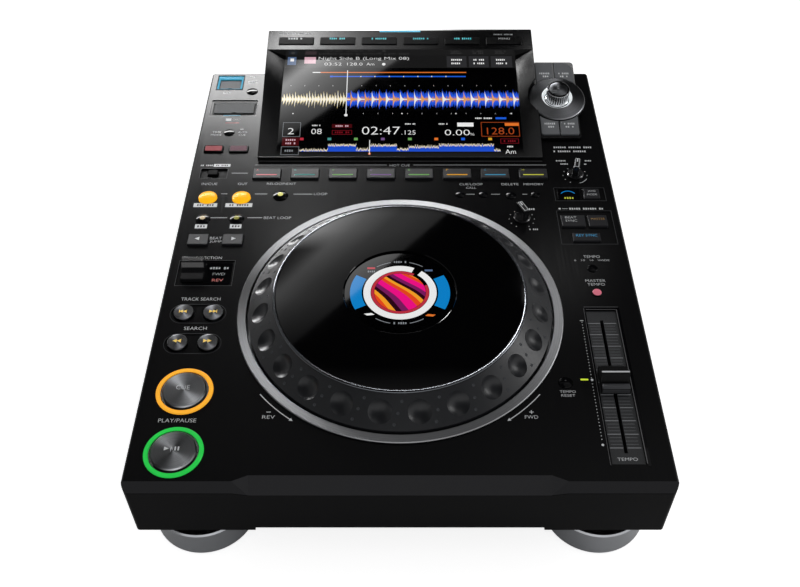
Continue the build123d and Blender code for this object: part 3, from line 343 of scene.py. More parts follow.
def beat_wave(name, spacing, sharp, past):
    """Beats on the display, drawn from noise: past ones in cream, coming ones in blue, amber and white.

    spacing is in millimetres, and sharp is how quickly a beat falls away after its start.
    """
    made, tree, body = display_glass(name, 0.9)
    x, y, noise = along_screen(tree)
    off = add(tree, "Math SUBTRACT", [y, 62.0])
    off = add(tree, "Math ABSOLUTE", [off])
    beat = add(tree, "Math MULTIPLY", [x, 1.0 / spacing])
    late = add(tree, "Math FRACT", [beat])
    early = add(tree, "Math SUBTRACT", [1.0, late])
    spike = add(tree, "Math POWER", [early, sharp])
    if past:
        loud = add(tree, "Math MULTIPLY_ADD", [spike, 6.0, 1.8])
        jag = add(tree, "MapRange", [noise, 0.35, 0.7, 0.5, 1.4])
        tall = add(tree, "Math MULTIPLY", [loud, jag])
        tone = wave_colours(tree, tall, off, [(0.001, "cfae3c"), (0.10, "f4e7b4"), (0.26, "fbf6ea")])
    else:
        jag = add(tree, "MapRange", [noise, 0.3, 0.7, 4.5, 9.5])
        tall = add(tree, "Math MULTIPLY_ADD", [spike, 2.4, jag])
        tone = wave_colours(tree, tall, off, [(0.001, "1b46c8"), (0.5, "2a63ee")])
        glow = add(tree, "MapRange", [noise, 0.4, 0.65, 0.6, 3.4])
        warm = add(tree, "Math GREATER_THAN", [glow, off])
        tone = add(tree, "Mix", {0: warm, 6: tone, 7: "c98a5a"}, data_type="RGBA")
        core = add(tree, "Math MULTIPLY_ADD", [spike, 8.5, 0.5])
        inside = add(tree, "Math GREATER_THAN", [core, off])
        half = add(tree, "Math MULTIPLY", [beat, 0.5])
        odd = add(tree, "Math FRACT", [half])
        odd = add(tree, "Math GREATER_THAN", [odd, 0.5])
        beats = add(tree, "Mix", {0: odd, 6: "f7f3ec", 7: "e8a468"}, data_type="RGBA")
        tone = add(tree, "Mix", {0: inside, 6: tone, 7: beats}, data_type="RGBA")
    feed(body, {"Emission Color": tone})
    return made


def cover_art():
    """A made-up record sleeve for the round display: broad bent bands in pink, amber and plum."""
    made, tree, body = display_glass("display_sleeve_art", 0.9, 1.5, 0.5)
    bands = add(tree, "TexWave", {"Vector": local_mm(tree, DECK), "Scale": 0.028, "Distortion": 7.0,
                                  "Detail": 0.5, "Detail Scale": 0.55}, bands_direction="DIAGONAL",
                wave_profile="SAW").outputs["Fac"]
    colours = [(0.0, "2a0616"), (0.16, "7a1d5e"), (0.36, "f21287"), (0.66, "e8481f"), (0.84, "f7a028")]
    feed(body, {"Emission Color": add(tree, "ValToRGB", [bands], colours, steps=True)})
    return made


MAT = {
    "deck": moulded_abs_hairline(), "satin": moulded_abs_satin(), "rubber": silicone_rubber(),
    "board": circuit_laminate(), "knob_metal": knurled_chrome(), "wave_song": song_outline(),
    "rings": ring_light("acrylic_light_rings", "23b544", "efa62e", 46.0), "sleeve": cover_art(),
    "wave_past": beat_wave("display_wave_past", 2.35, 1.6, past=True),
    "wave_next": beat_wave("display_wave_next", 5.85, 5.0, past=False),
    # the bezel, discs, cone and knob face below carry painted highlight and shade in rays; the bezel's right
    # side is painted bright and its left painted dark
    "bezel": spun_metal("brushed_bezel", JOG, "c4c5c8", rough=0.34, lines_per_mm=0.7, aniso=0.7, painted_fan=0.97,
                        heading=-10.0, painted_lit_side=True),
    "play": spun_metal("play_disc", (-136.4, 23.6), "c4c6ca", above=0.65, painted_fan=0.93, narrow=7.0),
    "cue": spun_metal("cue_disc", (-136.6, 69.5), "c4c6ca", above=0.65, painted_fan=0.93, narrow=7.0),
    "selector_cone": spun_metal("selector_cone", (0, 0), "97989c", SELECTOR, painted_fan=0.8, heading=125.0),
    "knob_face": spun_metal("selector_knob_face", (0, 0), "8c8e92", SELECTOR, painted_fan=0.6, heading=125.0),
}
# the rest by what they are made of: the key, then what each function takes
LOOKS = {
    moulded_abs_satin: [
        ("housing", "housing_ABS", "0c0c0d", 0.13, 0.5), ("jog", "jog_polycarbonate", "232427", 0.34, 0.35),
        # the edge material is a pale grey for painted highlights along edges
        ("inlay", "slider_scale_ABS", "303133", 0.3, 0.3), ("edge", "polished_edge_ABS", "5c5c5e", 0.2, 0.5),
        # the rim material is a pale grey for painted highlights round recesses
        ("header_key", "header_key_ABS", "0b0b0c", 0.3, 0.05), ("rim", "recess_rim_ABS", "48494b", 0.25, 0.1),
        ("media", "media_slot_ABS", "1a1b1c", 0.4, 0.03), ("pad", "slider_pad_ABS", "4a4b4e", 0.35, 0.2),
        ("white_abs", "white_ABS", "c9c9c6", 0.35, 0.3), ("red_abs", "red_ABS", "a8282c", 0.35, 0.3),
        ("powder", "powder_coat_black", "111112", 0.5), ("lid", "grey_ABS", "4a4c4f", 0.4, 0.05),
        ("card", "card_door_ABS", "46484a", 0.42, 0.04), ("knob", "knob_ABS", "161618", 0.2, 0.8)],
    polished_acrylic: [
        ("glass", "screen_glass", "030304", 1.8, 1.0), ("plate", "jog_acrylic", "050506", 1.47, 0.3),
        ("gloss", "gloss_black_ABS", "0a0a0c", 1.5, 0.1)],
    silicone_rubber: [
        ("key", "hot_cue_silicone", "28282b", 0.42, 0.12), ("grey_key", "grey_silicone", "6b6d70", 0.5, 0.15),
        ("foot_rubber", "foot_rubber", "0b0b0b", 0.7)],
    satin_aluminium: [("silver", "silver_foot", "aeb0b4", 0.24), ("steel", "plated_steel", "9a9b9e", 0.35)],
    chromed_brass: [
        ("nickel", "nickel_plated_brass", "b9b6ae", 0.22), ("gold", "gold_plated_contacts", "c9a24a", 0.25),
        ("trim", "chromed_trim", "606266", 0.15)],
    lit_plastic: [
        ("amber", "amber_lit_cap", "f6b40e", 0.9, "c98a10"), ("lime", "lime_lens", "d7d37c", 0.7),
        ("red_light", "red_lit_cap", "c87585", 0.7, "a04050"), ("beige", "beige_lens", "bdac8e", 0.6),
        ("white_light", "white_lit_acrylic", "e9eef0", 0.8, "c0c4c6"), ("olive", "olive_lens", "8a8646", 0.6),
        ("led", "yellow_green_lens", "b5c832", 0.9), ("bar_light", "ice_blue_bar", "5babc6", 0.8),
        ("salmon", "salmon_lit_cap", "a8484e", 0.6, "4a2428", 0.02),
        ("mauve", "mauve_lit_cap", "744b58", 0.5, "3a282e", 0.02),
        ("usb_light", "blue_lit_acrylic", "2f8dab", 0.85, None, 0.02),
        ("strip_light", "dim_blue_strip", "4f8ba0", 0.5, None, 0.02)],
}
for make, rows in LOOKS.items():
    for key, *look in rows:
        MAT[key] = make(*look)
# these discs carry painted highlight in thin rays and painted shade between them
for name, x, y in (("track_back", -147.2, 135.8), ("track_forward", -127.0, 135.8),
                   ("search_back", -147.4, 109.2), ("search_forward", -127.2, 109.2)):
    MAT[name] = spun_metal(f"{name}_disc", (x, y), "8a8b8f", painted_fan=0.95, narrow=9.0)
# each ink: its name, its colour, and the strength of its glow, painted light that brightens the print
INKS_WITH_PAINTED_GLOW = (("white", "b9bbbd", 0.3), ("grey", "7d7f82", 0.3), ("faint", "55575a", 0.15),
        ("black", "1c1c1e", 0.0), ("pale_label", "b4b6b8", 0.4), ("yellow", "d8b43a", 0.6),
        ("amber", "b98a3a", 0.0), ("red", "c0504a", 0.5), ("teal", "35a9b4", 0.7), ("cyan", "2f8fc0", 0.6))
for name, colour, glow in INKS_WITH_PAINTED_GLOW:
    MAT[f"{name}_ink"] = pad_print(f"{name}_ink", colour, glow)
LIT = (("white", "f2f2f2", 0.95), ("grey", "8c9095", 0.9), ("tab", "2d2d2f", 1.0), ("top_bar", "191919", 1.0),
       ("blue", "1d5fe0", 0.95), ("sky", "0d82cb", 0.95), ("icon", "5a6f92", 0.9), ("pink", "e3b7c4", 0.9),
       ("red", "be3141", 0.95), ("wine", "7d1420", 0.95), ("maroon", "460b10", 1.0),
       ("orange", "e8762c", 0.95), ("rust", "b14a1e", 0.95), ("amber", "d9a02c", 0.95),
       ("teal", "4a9490", 0.95), ("green", "6faa5c", 0.95), ("plum", "7a5a92", 0.9), ("sea", "3a86a8", 0.95),
       ("lemon", "b6b840", 0.95))
for name, colour, strength in LIT:
    MAT[f"lit_{name}"] = lit_pixels(f"display_{name}", colour, strength)

# the CAD nodes in each material
DRESS = {
    "deck": ["cabinet"], "powder": ["base_plate"], "silver": ["foot_cups"], "foot_rubber": ["foot_pads"],
    "steel": ["case_screws", "jog_bearing", "selector_shaft"],
    "housing": ["display_housing", "selector_pedestal"],
    "glass": ["display_glass", "jog_display"], "plate": ["jog_top_plate"], "jog": ["jog_ring"],
    "satin": ["display_panel", "rear_cover", "socket_panel", "tempo_slider"], "nickel": ["rear_sockets"],
    "rubber": ["mains_inlet"], "lid": ["jog_hub", "usb_lid"], "bezel": ["jog_bezel"],
    "inlay": ["slider_plate"],
    "card": ["card_door"], "media": ["media_slots"], "selector_cone": ["selector_ring"],
    "board": ["control_board", "main_board", "power_supply"], "play": ["play_button"], "cue": ["cue_button"],
    "rings": ["light_rings"], "header_key": ["header_keys_left", "header_keys_right"],
    "amber": ["loop_in_button", "loop_out_button"], "track_back": ["track_back_button"],
    "track_forward": ["track_forward_button"], "search_back": ["search_back_button"],
    "search_forward": ["search_forward_button"], "grey_key": ["selector_keys_back", "selector_keys_front"],
    "gloss": ["power_button", "selector_knob", "reloop_button", "beat_loop_buttons", "tempo_buttons",
              "media_buttons", "memory_buttons", "quantize_keys"],
    "key": ["beat_jump_back_key", "beat_jump_forward_key", "sync_keys", "hot_cue_keys_1_2",
            "hot_cue_keys_3_4", "hot_cue_keys_5_6", "hot_cue_keys_7_8"],
    "knob": ["direction_lever", "vinyl_speed_knob", "jog_adjust_knob"],
}
for key, nodes in DRESS.items():
    for node in nodes:
        NODES[node].data.materials.clear()
        NODES[node].data.materials.append(MAT[key])


# ------------------------------------------------------------------ modelling
def fresh():
    """Object mode with nothing selected."""
    if bpy.context.object and bpy.context.object.mode != "OBJECT":
        bpy.ops.object.mode_set(mode="OBJECT")
    bpy.ops.object.select_all(action="DESELECT")


def settle(obj, where):
    """Put an object into a frame and bake its place into its mesh."""
    fresh()
    obj.select_set(True)
    bpy.context.view_layer.objects.active = obj
    bpy.context.view_layer.update()
    obj.matrix_world = where @ obj.matrix_world
    bpy.ops.object.transform_apply(location=True, rotation=True, scale=True)
    return obj


def sized(*scale):
    """Scale a new primitive, and go into its edit mode."""
    bpy.context.object.scale = scale
    bpy.ops.object.transform_apply(location=True, rotation=True, scale=True)
    bpy.ops.object.mode_set(mode="EDIT")


def choose(kind, test):
    """In edit mode, select the faces or the edges that pass a test."""
    mesh = bmesh.from_edit_mesh(bpy.context.object.data)
    bpy.ops.mesh.select_all(action="DESELECT")
    bpy.ops.mesh.select_mode(type=kind)
    for part in mesh.faces if kind == "FACE" else mesh.edges:
        if test(part):
            part.select_set(True)
    mesh.select_flush_mode()
    bmesh.update_edit_mesh(bpy.context.object.data)


def close(merge=0.0, sharp=0):
    """End edit mode: merge near points, turn faces outwards, and smooth edges under an angle in degrees."""
    bpy.ops.mesh.select_all(action="SELECT")
    if merge:
        bpy.ops.mesh.remove_doubles(threshold=merge)
    bpy.ops.mesh.normals_make_consistent(inside=False)
    bpy.ops.object.mode_set(mode="OBJECT")
    if sharp:
        bpy.ops.object.shade_smooth_by_angle(angle=radians(sharp))
    return bpy.context.object


def draw(points):
    """A new mesh, left in edit mode: a chain of edges through points."""
    fresh()
    bpy.ops.mesh.primitive_plane_add(size=1)
    bpy.ops.object.mode_set(mode="EDIT")
    bpy.ops.mesh.select_mode(type="VERT")
    bpy.ops.mesh.merge(type="CENTER")
    bpy.ops.transform.translate(value=points[0])
    for here, there in zip(points, points[1:]):
        step = tuple(Vector(there) - Vector(here))
        bpy.ops.mesh.extrude_vertices_move(TRANSFORM_OT_translate={"value": step})
    bpy.ops.mesh.select_all(action="SELECT")


def plate(x, y, wide, long, low, top, corner=0.0, soft=0.0):
    """A plate with rounded upright edges and a softened rim."""
    fresh()
    bpy.ops.mesh.primitive_cube_add(size=1, location=(x, y, (low + top) / 2))
    sized(wide, long, top - low)
    if corner:
        choose("EDGE", lambda e: abs(e.verts[0].co.z - e.verts[1].co.z) > 1e-6)
        bpy.ops.mesh.bevel(offset=corner, segments=5, affect="EDGES")
    if soft:
        choose("EDGE", lambda e: all(v.co.z > top - 1e-4 for v in e.verts))
        bpy.ops.mesh.bevel(offset=soft, segments=2, affect="EDGES")
    bpy.ops.object.mode_set(mode="OBJECT")
    return bpy.context.object


def frame_of(x, y, wide, long, rim, low, top):
    """A flat rectangular frame with a rim of the given width."""
    obj = plate(x, y, wide, long, low, top)
    bpy.ops.object.mode_set(mode="EDIT")
    choose("FACE", lambda f: abs(f.normal.z) > 0.9)
    bpy.ops.mesh.inset(thickness=rim, use_even_offset=True)
    bpy.ops.mesh.bridge_edge_loops()
    bpy.ops.object.mode_set(mode="OBJECT")
    return obj


def lathe(profile, steps=64):
    """Turn a profile of (radius, height) about the upright axis."""
    draw([(r, 0, z) for r, z in profile])
    bpy.ops.mesh.spin(steps=steps, angle=2 * pi, center=(0, 0, 0), axis=(0, 0, 1))
    return close(0.002, 40)


def side_shape(points, x0, x1, soft):
    """A side outline in y and z, drawn across from x0 to x1, with softened edges."""
    draw([(x0, y, z) for y, z in points + points[:1]])
    bpy.ops.mesh.remove_doubles(threshold=0.002)
    bpy.ops.mesh.edge_face_add()
    bpy.ops.mesh.extrude_region_move(TRANSFORM_OT_translate={"value": (x1 - x0, 0, 0)})
    bpy.ops.mesh.select_all(action="SELECT")
    bpy.ops.mesh.normals_make_consistent(inside=False)
    bpy.ops.mesh.bevel(offset=soft, segments=2, affect="EDGES")
    return close(0, 30)


def arc(x, y, r_in, r_out, low, top, start, end, steps):
    """Part of a flat ring, between two angles in degrees."""
    fresh()
    bpy.ops.mesh.primitive_plane_add(size=1, location=((r_in + r_out) / 2, 0, (low + top) / 2),
                                     rotation=(pi / 2, 0, 0))
    sized(r_out - r_in, top - low, 1)
    bpy.ops.mesh.select_all(action="SELECT")
    bpy.ops.mesh.spin(steps=steps, angle=-radians(end - start), center=(0, 0, 0), axis=(0, 0, 1))
    return settle(close(0.0005), Matrix.Translation((x, y, 0)) @ Matrix.Rotation(radians(start), 4, "Z"))


def marks(low, top, bars=(), dots=(), wedges=()):
    """Thin flat shapes in one mesh: bars (x, y, wide, tall[, turn]), dots (x, y, r) and
    three-cornered wedges (x, y, wide, tall, turn), where a turn of 0 points to the right."""
    fresh()
    bpy.ops.mesh.primitive_plane_add(size=1)
    bpy.ops.object.mode_set(mode="EDIT")
    bpy.ops.mesh.delete(type="VERT")
    for x, y, wide, tall, *turn in bars:
        bpy.ops.mesh.primitive_plane_add(size=1, location=(x, y, low), rotation=(0, 0, radians(sum(turn))))
        bpy.ops.transform.resize(value=(wide, tall, 1), center_override=(x, y, low))
    for x, y, r in dots:
        bpy.ops.mesh.primitive_circle_add(vertices=20, radius=r, fill_type="NGON", location=(x, y, low))
    for x, y, wide, tall, turn in wedges:
        bpy.ops.mesh.primitive_circle_add(vertices=3, radius=2 / 3, fill_type="NGON", location=(x, y, low),
                                          rotation=(0, 0, -pi / 2))
        bpy.ops.transform.resize(value=(wide, tall / 1.155, 1), center_override=(x, y, low))
        bpy.ops.transform.rotate(value=-radians(turn), orient_axis="Z", center_override=(x, y, low))
    bpy.ops.mesh.select_all(action="SELECT")
    bpy.ops.mesh.extrude_region_move(TRANSFORM_OT_translate={"value": (0, 0, top - low)})
    return close()


def words(low, top, text, x, y, wide, tall):
    """Lettering as a thin raised mesh, fitted to a box."""
    fresh()
    bpy.ops.object.text_add()
    letters = bpy.context.object.data
    letters.body = text
    letters.extrude = 0.5
    letters.offset = -0.012
    letters.resolution_u = 3
    bpy.ops.object.convert(target="MESH")
    bpy.ops.object.mode_set(mode="EDIT")
    obj = close(0.0001)
    spots = [v.co for v in obj.data.vertices]
    x0, x1 = min(c.x for c in spots), max(c.x for c in spots)
    y0, y1 = min(c.y for c in spots), max(c.y for c in spots)
    fit = Matrix.Diagonal((wide / (x1 - x0), tall / (y1 - y0), top - low, 1))
    middle = Matrix.Translation((-(x0 + x1) / 2, -(y0 + y1) / 2, 0))
    return settle(obj, Matrix.Translation((x, y, (low + top) / 2)) @ fit @ middle)


def script_bars(x, y, wide, tall, seed=0):
    """Bars in place of small print: letter-sized blocks in word-sized groups."""
    count = max(2, round(wide / (0.86 * tall)))
    step = wide / count
    return [(x - wide / 2 + (i + 0.5) * step, y, 0.64 * step, tall if (i * 5 + seed) % 3 else tall * 0.8)
            for i in range(count) if (i * 3 + seed) % 7 != 5]


def copies(obj, places):
    """Copies of a mesh, each with its own data, at a list of places."""
    made = []
    for where in places:
        twin = obj.copy()
        twin.data = obj.data.copy()
        bpy.context.scene.collection.objects.link(twin)
        twin.matrix_world = where
        made.append(twin)
    bpy.data.objects.remove(obj)
    return made


def piece(name, parts, where, material, body="player"):
    """Join objects into one named piece in a frame, with its material, on the body that carries it."""
    fresh()
    for obj in parts:
        obj.select_set(True)
    bpy.context.view_layer.objects.active = parts[0]
    if len(parts) > 1:
        bpy.ops.object.join()
    obj = settle(parts[0], where)
    obj.name = obj.data.name = name
    obj.data.materials.clear()
    obj.data.materials.append(MAT[material])
    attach(obj, body)
    return obj


def printed(name, material, level, where=DECK, body="player", boxes=(), bars=(), dots=(), wedges=(),
            texts=()):
    """A piece of thin flat print or lit shapes, with its lowest and highest millimetre above the frame."""
    parts = [frame_of(*box, *level) for box in boxes] + [words(*level, *text) for text in texts]
    if bars or dots or wedges:
        parts.append(marks(*level, bars, dots, wedges))
    return piece(name, parts, where, material, body)


# Print and lit shapes are thin plates. Each pair below is their lowest and highest millimetre.
FLAT = (-0.01, 0.03)                 # on a frame's own level
ON_DISC, ON_LIT_DISC = (1.58, 1.63), (2.28, 2.33)
ON_KEY, ON_SELECTOR_KEY, ON_RUBBER_KEY = (1.18, 1.23), (1.28, 1.33), (1.78, 1.83)
IN_WINDOW, IN_MODE_WINDOW, ON_SCALE = (-0.31, -0.27), (-0.22, -0.17), (-1.01, -0.97)
ON_HEADER_KEY = (0.89, 0.93)
ROUND_TOP = 17.0
ON_ROUND = (ROUND_TOP - 0.02, ROUND_TOP + 0.03)
ON_GLASS, WAVE_ON_GLASS = (-0.005, 0.03), (-0.005, 0.015)
LAYERS = [(0.02 * i - 0.005, 0.02 * i + 0.02) for i in range(3)]      # on the display, one over another

# ------------------------------------------------------------------ jog wheel
trim = [(83.45, 17.0), (85.5, 17.0), (85.5, 17.7), (85.1, 18.35), (84.4, 18.6), (83.8, 18.5), (83.45, 18.2),
        (83.45, 17.0)]
piece("jog_trim_ring", [lathe(trim, 144)], ON_JOG, "trim", "jog_wheel")

# three small raised rings in each gap between the dimples, on the ring's cone
CONE_EDGE, CONE_TOP, CONE_FALL = 85.5, 17.1, 14.6 / 17.5
spots = []
for i in range(24):
    for r, turn in ((89.0, 0.7), (94.6, -0.8), (100.0, -2.1)):
        spots.append(Matrix.Rotation(radians(i * 15 + turn), 4, "Z")
                     @ Matrix.Translation((r, 0, CONE_TOP - (r - CONE_EDGE) * CONE_FALL))
                     @ Matrix.Rotation(atan2(CONE_FALL, 1), 4, "Y"))
dot = lathe([(0, -0.2), (1.05, -0.2), (1.05, 0.10), (0.85, 0.2), (0.55, 0.04), (0, 0.04)], 14)
piece("jog_ring_dots", copies(dot, spots), ON_JOG, "lid", "jog_wheel")

# round display, under the level of the top plate
art = [(0, ROUND_TOP - 0.05), (17.2, ROUND_TOP - 0.05), (17.2, ROUND_TOP + 0.02), (0, ROUND_TOP + 0.02)]
piece("round_display_art", [lathe(art, 72)], ON_JOG, "sleeve")
for name, material, spans in (("red_ring", "lit_red", [(17.4, 19.5, 60, 380, 96)]),
                              ("white_ring", "lit_white", [(19.8, 24.6, 66.5, 413.0, 110)]),
                              ("blue_blocks", "lit_sky", [(25.7, 33.6, -28, 28, 30),
                                                          (25.7, 33.6, 152, 208, 30)])):
    arcs = [arc(0, 0, inner, outer, *ON_ROUND, *span) for inner, outer, *span in spans]
    piece(f"round_display_{name}", arcs, ON_JOG, material)
lines = [arc(0, 0, 28.3, 28.8, *ON_ROUND, *span)
         for span in ((57, 77, 6), (103, 124, 7), (-124, -103, 7), (-77, -57, 6))]
small = script_bars(0, 28.4, 9.0, 1.8) + script_bars(0, -27.8, 9.0, 1.8, 2)
small += script_bars(-19.6, 19.2, 5.4, 1.6, 1)
piece("round_display_grey_print", lines + [marks(*ON_ROUND, small)], ON_JOG, "lit_grey")
for name, x, y, material, turn in (("red", -19.8, 22.4, "lit_red", 0), ("blue", 19.6, 20.3, "lit_icon", 0),
                                   ("white", -20.2, -20.0, "lit_white", 25),
                                   ("orange", 20.0, -20.9, "lit_orange", -20)):
    printed(f"round_display_{name}_tag", material, ON_ROUND, ON_JOG, bars=[(x, y, 5.4, 1.7, turn)])

# ------------------------------------------------------------------ main display
def shown(name, colour, level, **shapes):
    """A lit piece of the display's picture."""
    printed(f"display_{name}", f"lit_{colour}", level, SCREEN, **shapes)


TABS = ((48.1, 16.8), (66.9, 16.8), (86.2, 18.0))      # middle and width
shown("top_bar", "top_bar", LAYERS[0], bars=[(1.0, 105.3, 197.0, 14.6)])
shown("tabs", "tab", LAYERS[1], bars=[(x, 105.2, wide, 13.0) for x, wide in TABS])
shown("record_icon", "icon", LAYERS[1], bars=[(-91.9, 106.0, 7.3, 9.3)])
shown("sleeve_thumb", "pink", LAYERS[1], bars=[(-76.4, 106.8, 9.7, 7.6)])
shown("white_text", "white", LAYERS[2],
      bars=[(-44.2, 69.6, 0.7, 50.7), (53, 34.2, 13.2, 4.2), (-24.3, 10.3, 0.6, 14.9),
            (-91.7, 107.2, 3.0, 3.4)]
      + [(x, 87.9, 0.8, 1.2) for x in (-32.9, -21.1, -9, 3, 15, 26.6, 38.6)]
      + [(x, 77.3, 0.35, 1.0) for x in (-91, -79.4, -67.7, -56)]
      + script_bars(8.2, 34.9, 8.7, 1.4) + script_bars(34.9, 34.9, 7.5, 1.4)
      + script_bars(-67.9, 33.3, 6.9, 1.4) + script_bars(87.9, 10.9, 5.1, 1.6),
      dots=[(-44.2, 44.5, 1.4), (-13.8, 102.2, 1.5)] + [(x, 46.2, 0.6) for x in (45.7, 91.0, 1.6, -87.5)],
      texts=[("Night Side B (Long Mix 08)", -30.8, 108.7, 76.8, 4.3), ("03:52", -56.8, 102.4, 14.6, 3.2),
             ("128.0", -38.3, 102.4, 13.0, 3.2), ("Am", -25.1, 102.4, 6.6, 3.2),
             ("2", -88.1, 27.2, 5.0, 6.5), ("08", -67.4, 26.9, 8.4, 5.6), ("02:47", -15.4, 27.8, 30.6, 8.3),
             (".125", 6.9, 25.8, 11.3, 4.5), ("0.00", 46.2, 25.8, 20.2, 6.0), ("%", 58.1, 23.9, 3.7, 2.4),
             ("Am", 88.0, 5.7, 8.2, 4.4)])
shown("tab_text", "white", LAYERS[2],
      bars=[bar for x, wide in TABS for y in (107.4, 103.2)
            for bar in script_bars(x, y, 9.5, 2.0, int(x + y))]
      + [(-70.3, 92.6, 6.6, 1.0)] + [(x, 46.2, 0.3, 0.9) for x in range(-30, 96, 12)]
      + [(x, 77.3, 0.3, 0.9) for x in range(-32, 96, 12)] + script_bars(68.0, 41.1, 14.0, 1.6))
shown("beat_line", "orange", LAYERS[1], dots=[(-24.3, 3.5, 1.1)],
      bars=[(-5.6, 92.6, 122.8, 1.0), (90.7, 34.4, 11.4, 3.0)])
shown("phrase_line", "blue", LAYERS[1],
      bars=[(-1.0, 87.9, 112.4, 1.2), (82.2, 41.1, 8.7, 2.0), (-57.6, 87.9, 2.4, 1.8)])
for name, material, bar in (("wave_past", "wave_past", (-71.1, 62.0, 53.0, 24.0)),
                            ("wave_next", "wave_next", (27.2, 62.0, 142.0, 24.0)),
                            ("song_outline", "wave_song", (0.0, 10.0, 160.0, 8.4))):
    printed(f"display_{name}", material, WAVE_ON_GLASS, SCREEN, bars=[bar])
shown("boxes", "grey", ON_GLASS, bars=script_bars(-87.7, 6.6, 9.0, 2.2),
      boxes=[(-87.6, 28.9, 14.4, 15.3, 0.35), (-87.7, 6.6, 14.3, 8.7, 0.35)])
shown("red_boxes", "wine", ON_GLASS,
      boxes=[(-46.8, 25.9, 16.1, 4.6, 0.4), (87.9, 16.7, 14.7, 5.0, 0.4)],
      bars=script_bars(-46.8, 25.9, 12.0, 2.0) + script_bars(87.9, 16.7, 10.0, 2.0, 2))
shown("maroon_blocks", "maroon", LAYERS[0],
      bars=[(-47.0, 32.7, 16.2, 4.0), (-87.8, 16.2, 13.5, 8.5)])
shown("tempo_box", "rust", ON_GLASS, boxes=[(81.1, 29.2, 30.9, 15.3, 0.4)],
      texts=[("128.0", 81.2, 27.4, 21.9, 7.2)])
shown("block_text", "pink", LAYERS[1],
      bars=script_bars(-47.0, 32.7, 11.0, 1.8) + script_bars(-87.8, 17.9, 8.5, 1.8, 1)
      + script_bars(-87.8, 14.3, 8.5, 1.8, 3))
for name, x, colour in (("a", -78.9, "red"), ("b", -56.7, "teal"), ("c", -35.4, "green"),
                        ("d", -13.8, "plum"), ("e", 7.9, "green"), ("f", 29.1, "orange"),
                        ("g", 50.6, "blue"), ("h", 72.3, "amber")):
    shown(f"cue_mark_{name}", colour, LAYERS[0], bars=[(x, 18.9, 3.0, 2.6)])

# header strip above the display
printed("header_source_print", "white_ink", ON_HEADER_KEY, HEADER, "header_keys_left",
        bars=[(x - 88.9, 12.2, 1.6, 2.0) for x in (-5.8, -3.6, -1.4, 0.8, 4.4)])
for side, places in (("left", ((-53.7, 13.5, 0), (-18.0, 13.0, 2))),
                     ("right", ((17.7, 13.5, 1), (53.6, 15.0, 3)))):
    bars = [bar for x, wide, seed in places for bar in script_bars(x, 12.2, wide, 2.0, seed)]
    printed(f"header_list_print_{side}", "teal_ink", ON_HEADER_KEY, HEADER, f"header_keys_{side}", bars=bars)
printed("header_menu_print", "white_ink", ON_HEADER_KEY, HEADER, "header_keys_right",
        texts=[("MENU", 89.0, 12.2, 9.5, 2.0)])
printed("header_small_print", "grey_ink", FLAT, HEADER,
        bars=script_bars(-89.3, 19.4, 28.3, 1.5) + script_bars(88.5, 18.3, 16.6, 1.5, 1))
# pale strips along the housing's front edges: a painted highlight where light catches them
edges = [plate(0, 299.25, 225.6, 0.5, 3.6, 3.86), plate(0, 298.5, 226.0, 0.5, -0.1, 0.12)]
piece("housing_front_edge_highlights", edges, DECK, "edge")
piece("header_light_bar", [plate(0, 22.2, 35.2, 1.9, -0.4, 0.03, 0.5)], HEADER, "bar_light")

# ------------------------------------------------------------------ left column
tray = [plate(x, y, wide, long, -1.19, -0.2, 0.0, 0.3) for x, y, wide, long in
        ((-157.35, 405.6, 1.6, 19.8), (-137.25, 405.6, 1.6, 19.8), (-147.3, 396.4, 18.5, 1.2),
         (-147.3, 413.1, 18.5, 4.8))]
piece("stick_port_light_guide", tray, DECK, "usb_light")
piece("card_light_strip", [plate(-140.8, 358.8, 14.4, 1.9, -0.81, -0.5, 0.6, 0.15)], DECK, "strip_light")
for name, x, material in (("quantize", -149.9, "salmon"), ("slip", -129.8, "mauve")):
    lit_top = plate(x, 313.2, 13.4, 6.2, 1.35, 1.5, 1.0, 0.1)
    piece(f"{name}_lit_top", [lit_top], DECK, material, "quantize_keys")

# pale rims round the recesses, a painted highlight where light catches their edges: the rectangular ones,
# then the two pill-shaped ones
RIM_WIDE, RIM = 0.35, (-0.01, 0.04)
rim_highlights = [frame_of(x, y, wide + 2 * RIM_WIDE, long + 2 * RIM_WIDE, RIM_WIDE, *RIM) for x, y, wide, long in
        ((-140.3, 369.0, 38.8, 22.5), (-146.0, 283.6, 21.0, 11.4), (-137.8, 174.5, 39.5, 24.5),
         (137.9, 258.7, 38.3, 14.6), (138.4, 221.8, 40.6, 35.7))]
for y in (135.8, 109.2):
    rim_highlights += [arc(x, y, 8.4, 8.75, *RIM, start, start + 180, 24) for x, start in ((-147.9, 90), (-127.1, -90))]
    rim_highlights.append(marks(*RIM, [(-137.5, y + side, 20.8, RIM_WIDE) for side in (8.575, -8.575)]))
piece("recess_rim_highlights", rim_highlights, DECK, "rim")
lens = [(0, 0.45), (0.9, 0.4), (1.7, 0.2), (2.1, -0.1), (0, -0.1)]
for name, x, y, material, body in (("reloop", -91.4, 256.8, "lime", "reloop_button"),
                                   ("beat_loop_short", -147.3, 230.4, "beige", "beat_loop_buttons"),
                                   ("beat_loop_long", -121.9, 230.4, "olive", "beat_loop_buttons")):
    piece(f"{name}_lens", [lathe(lens, 24)], DECK @ Matrix.Translation((x, y, 1.95)), material, body)
piece("direction_window", [plate(-128.9, 174.3, 19.0, 20.6, -1.01, -0.3, 0.6, 0.2)], DECK, "gloss")
printed("direction_window_dashes", "grey_ink", IN_WINDOW, bars=script_bars(-128.5, 179.5, 13.7, 2.2))
printed("direction_forward_print", "grey_ink", IN_WINDOW, texts=[("FWD", -128.2, 173.7, 8.6, 2.4)])
printed("direction_reverse_print", "red_ink", IN_WINDOW, texts=[("REV", -128.4, 167.7, 7.7, 2.4)])
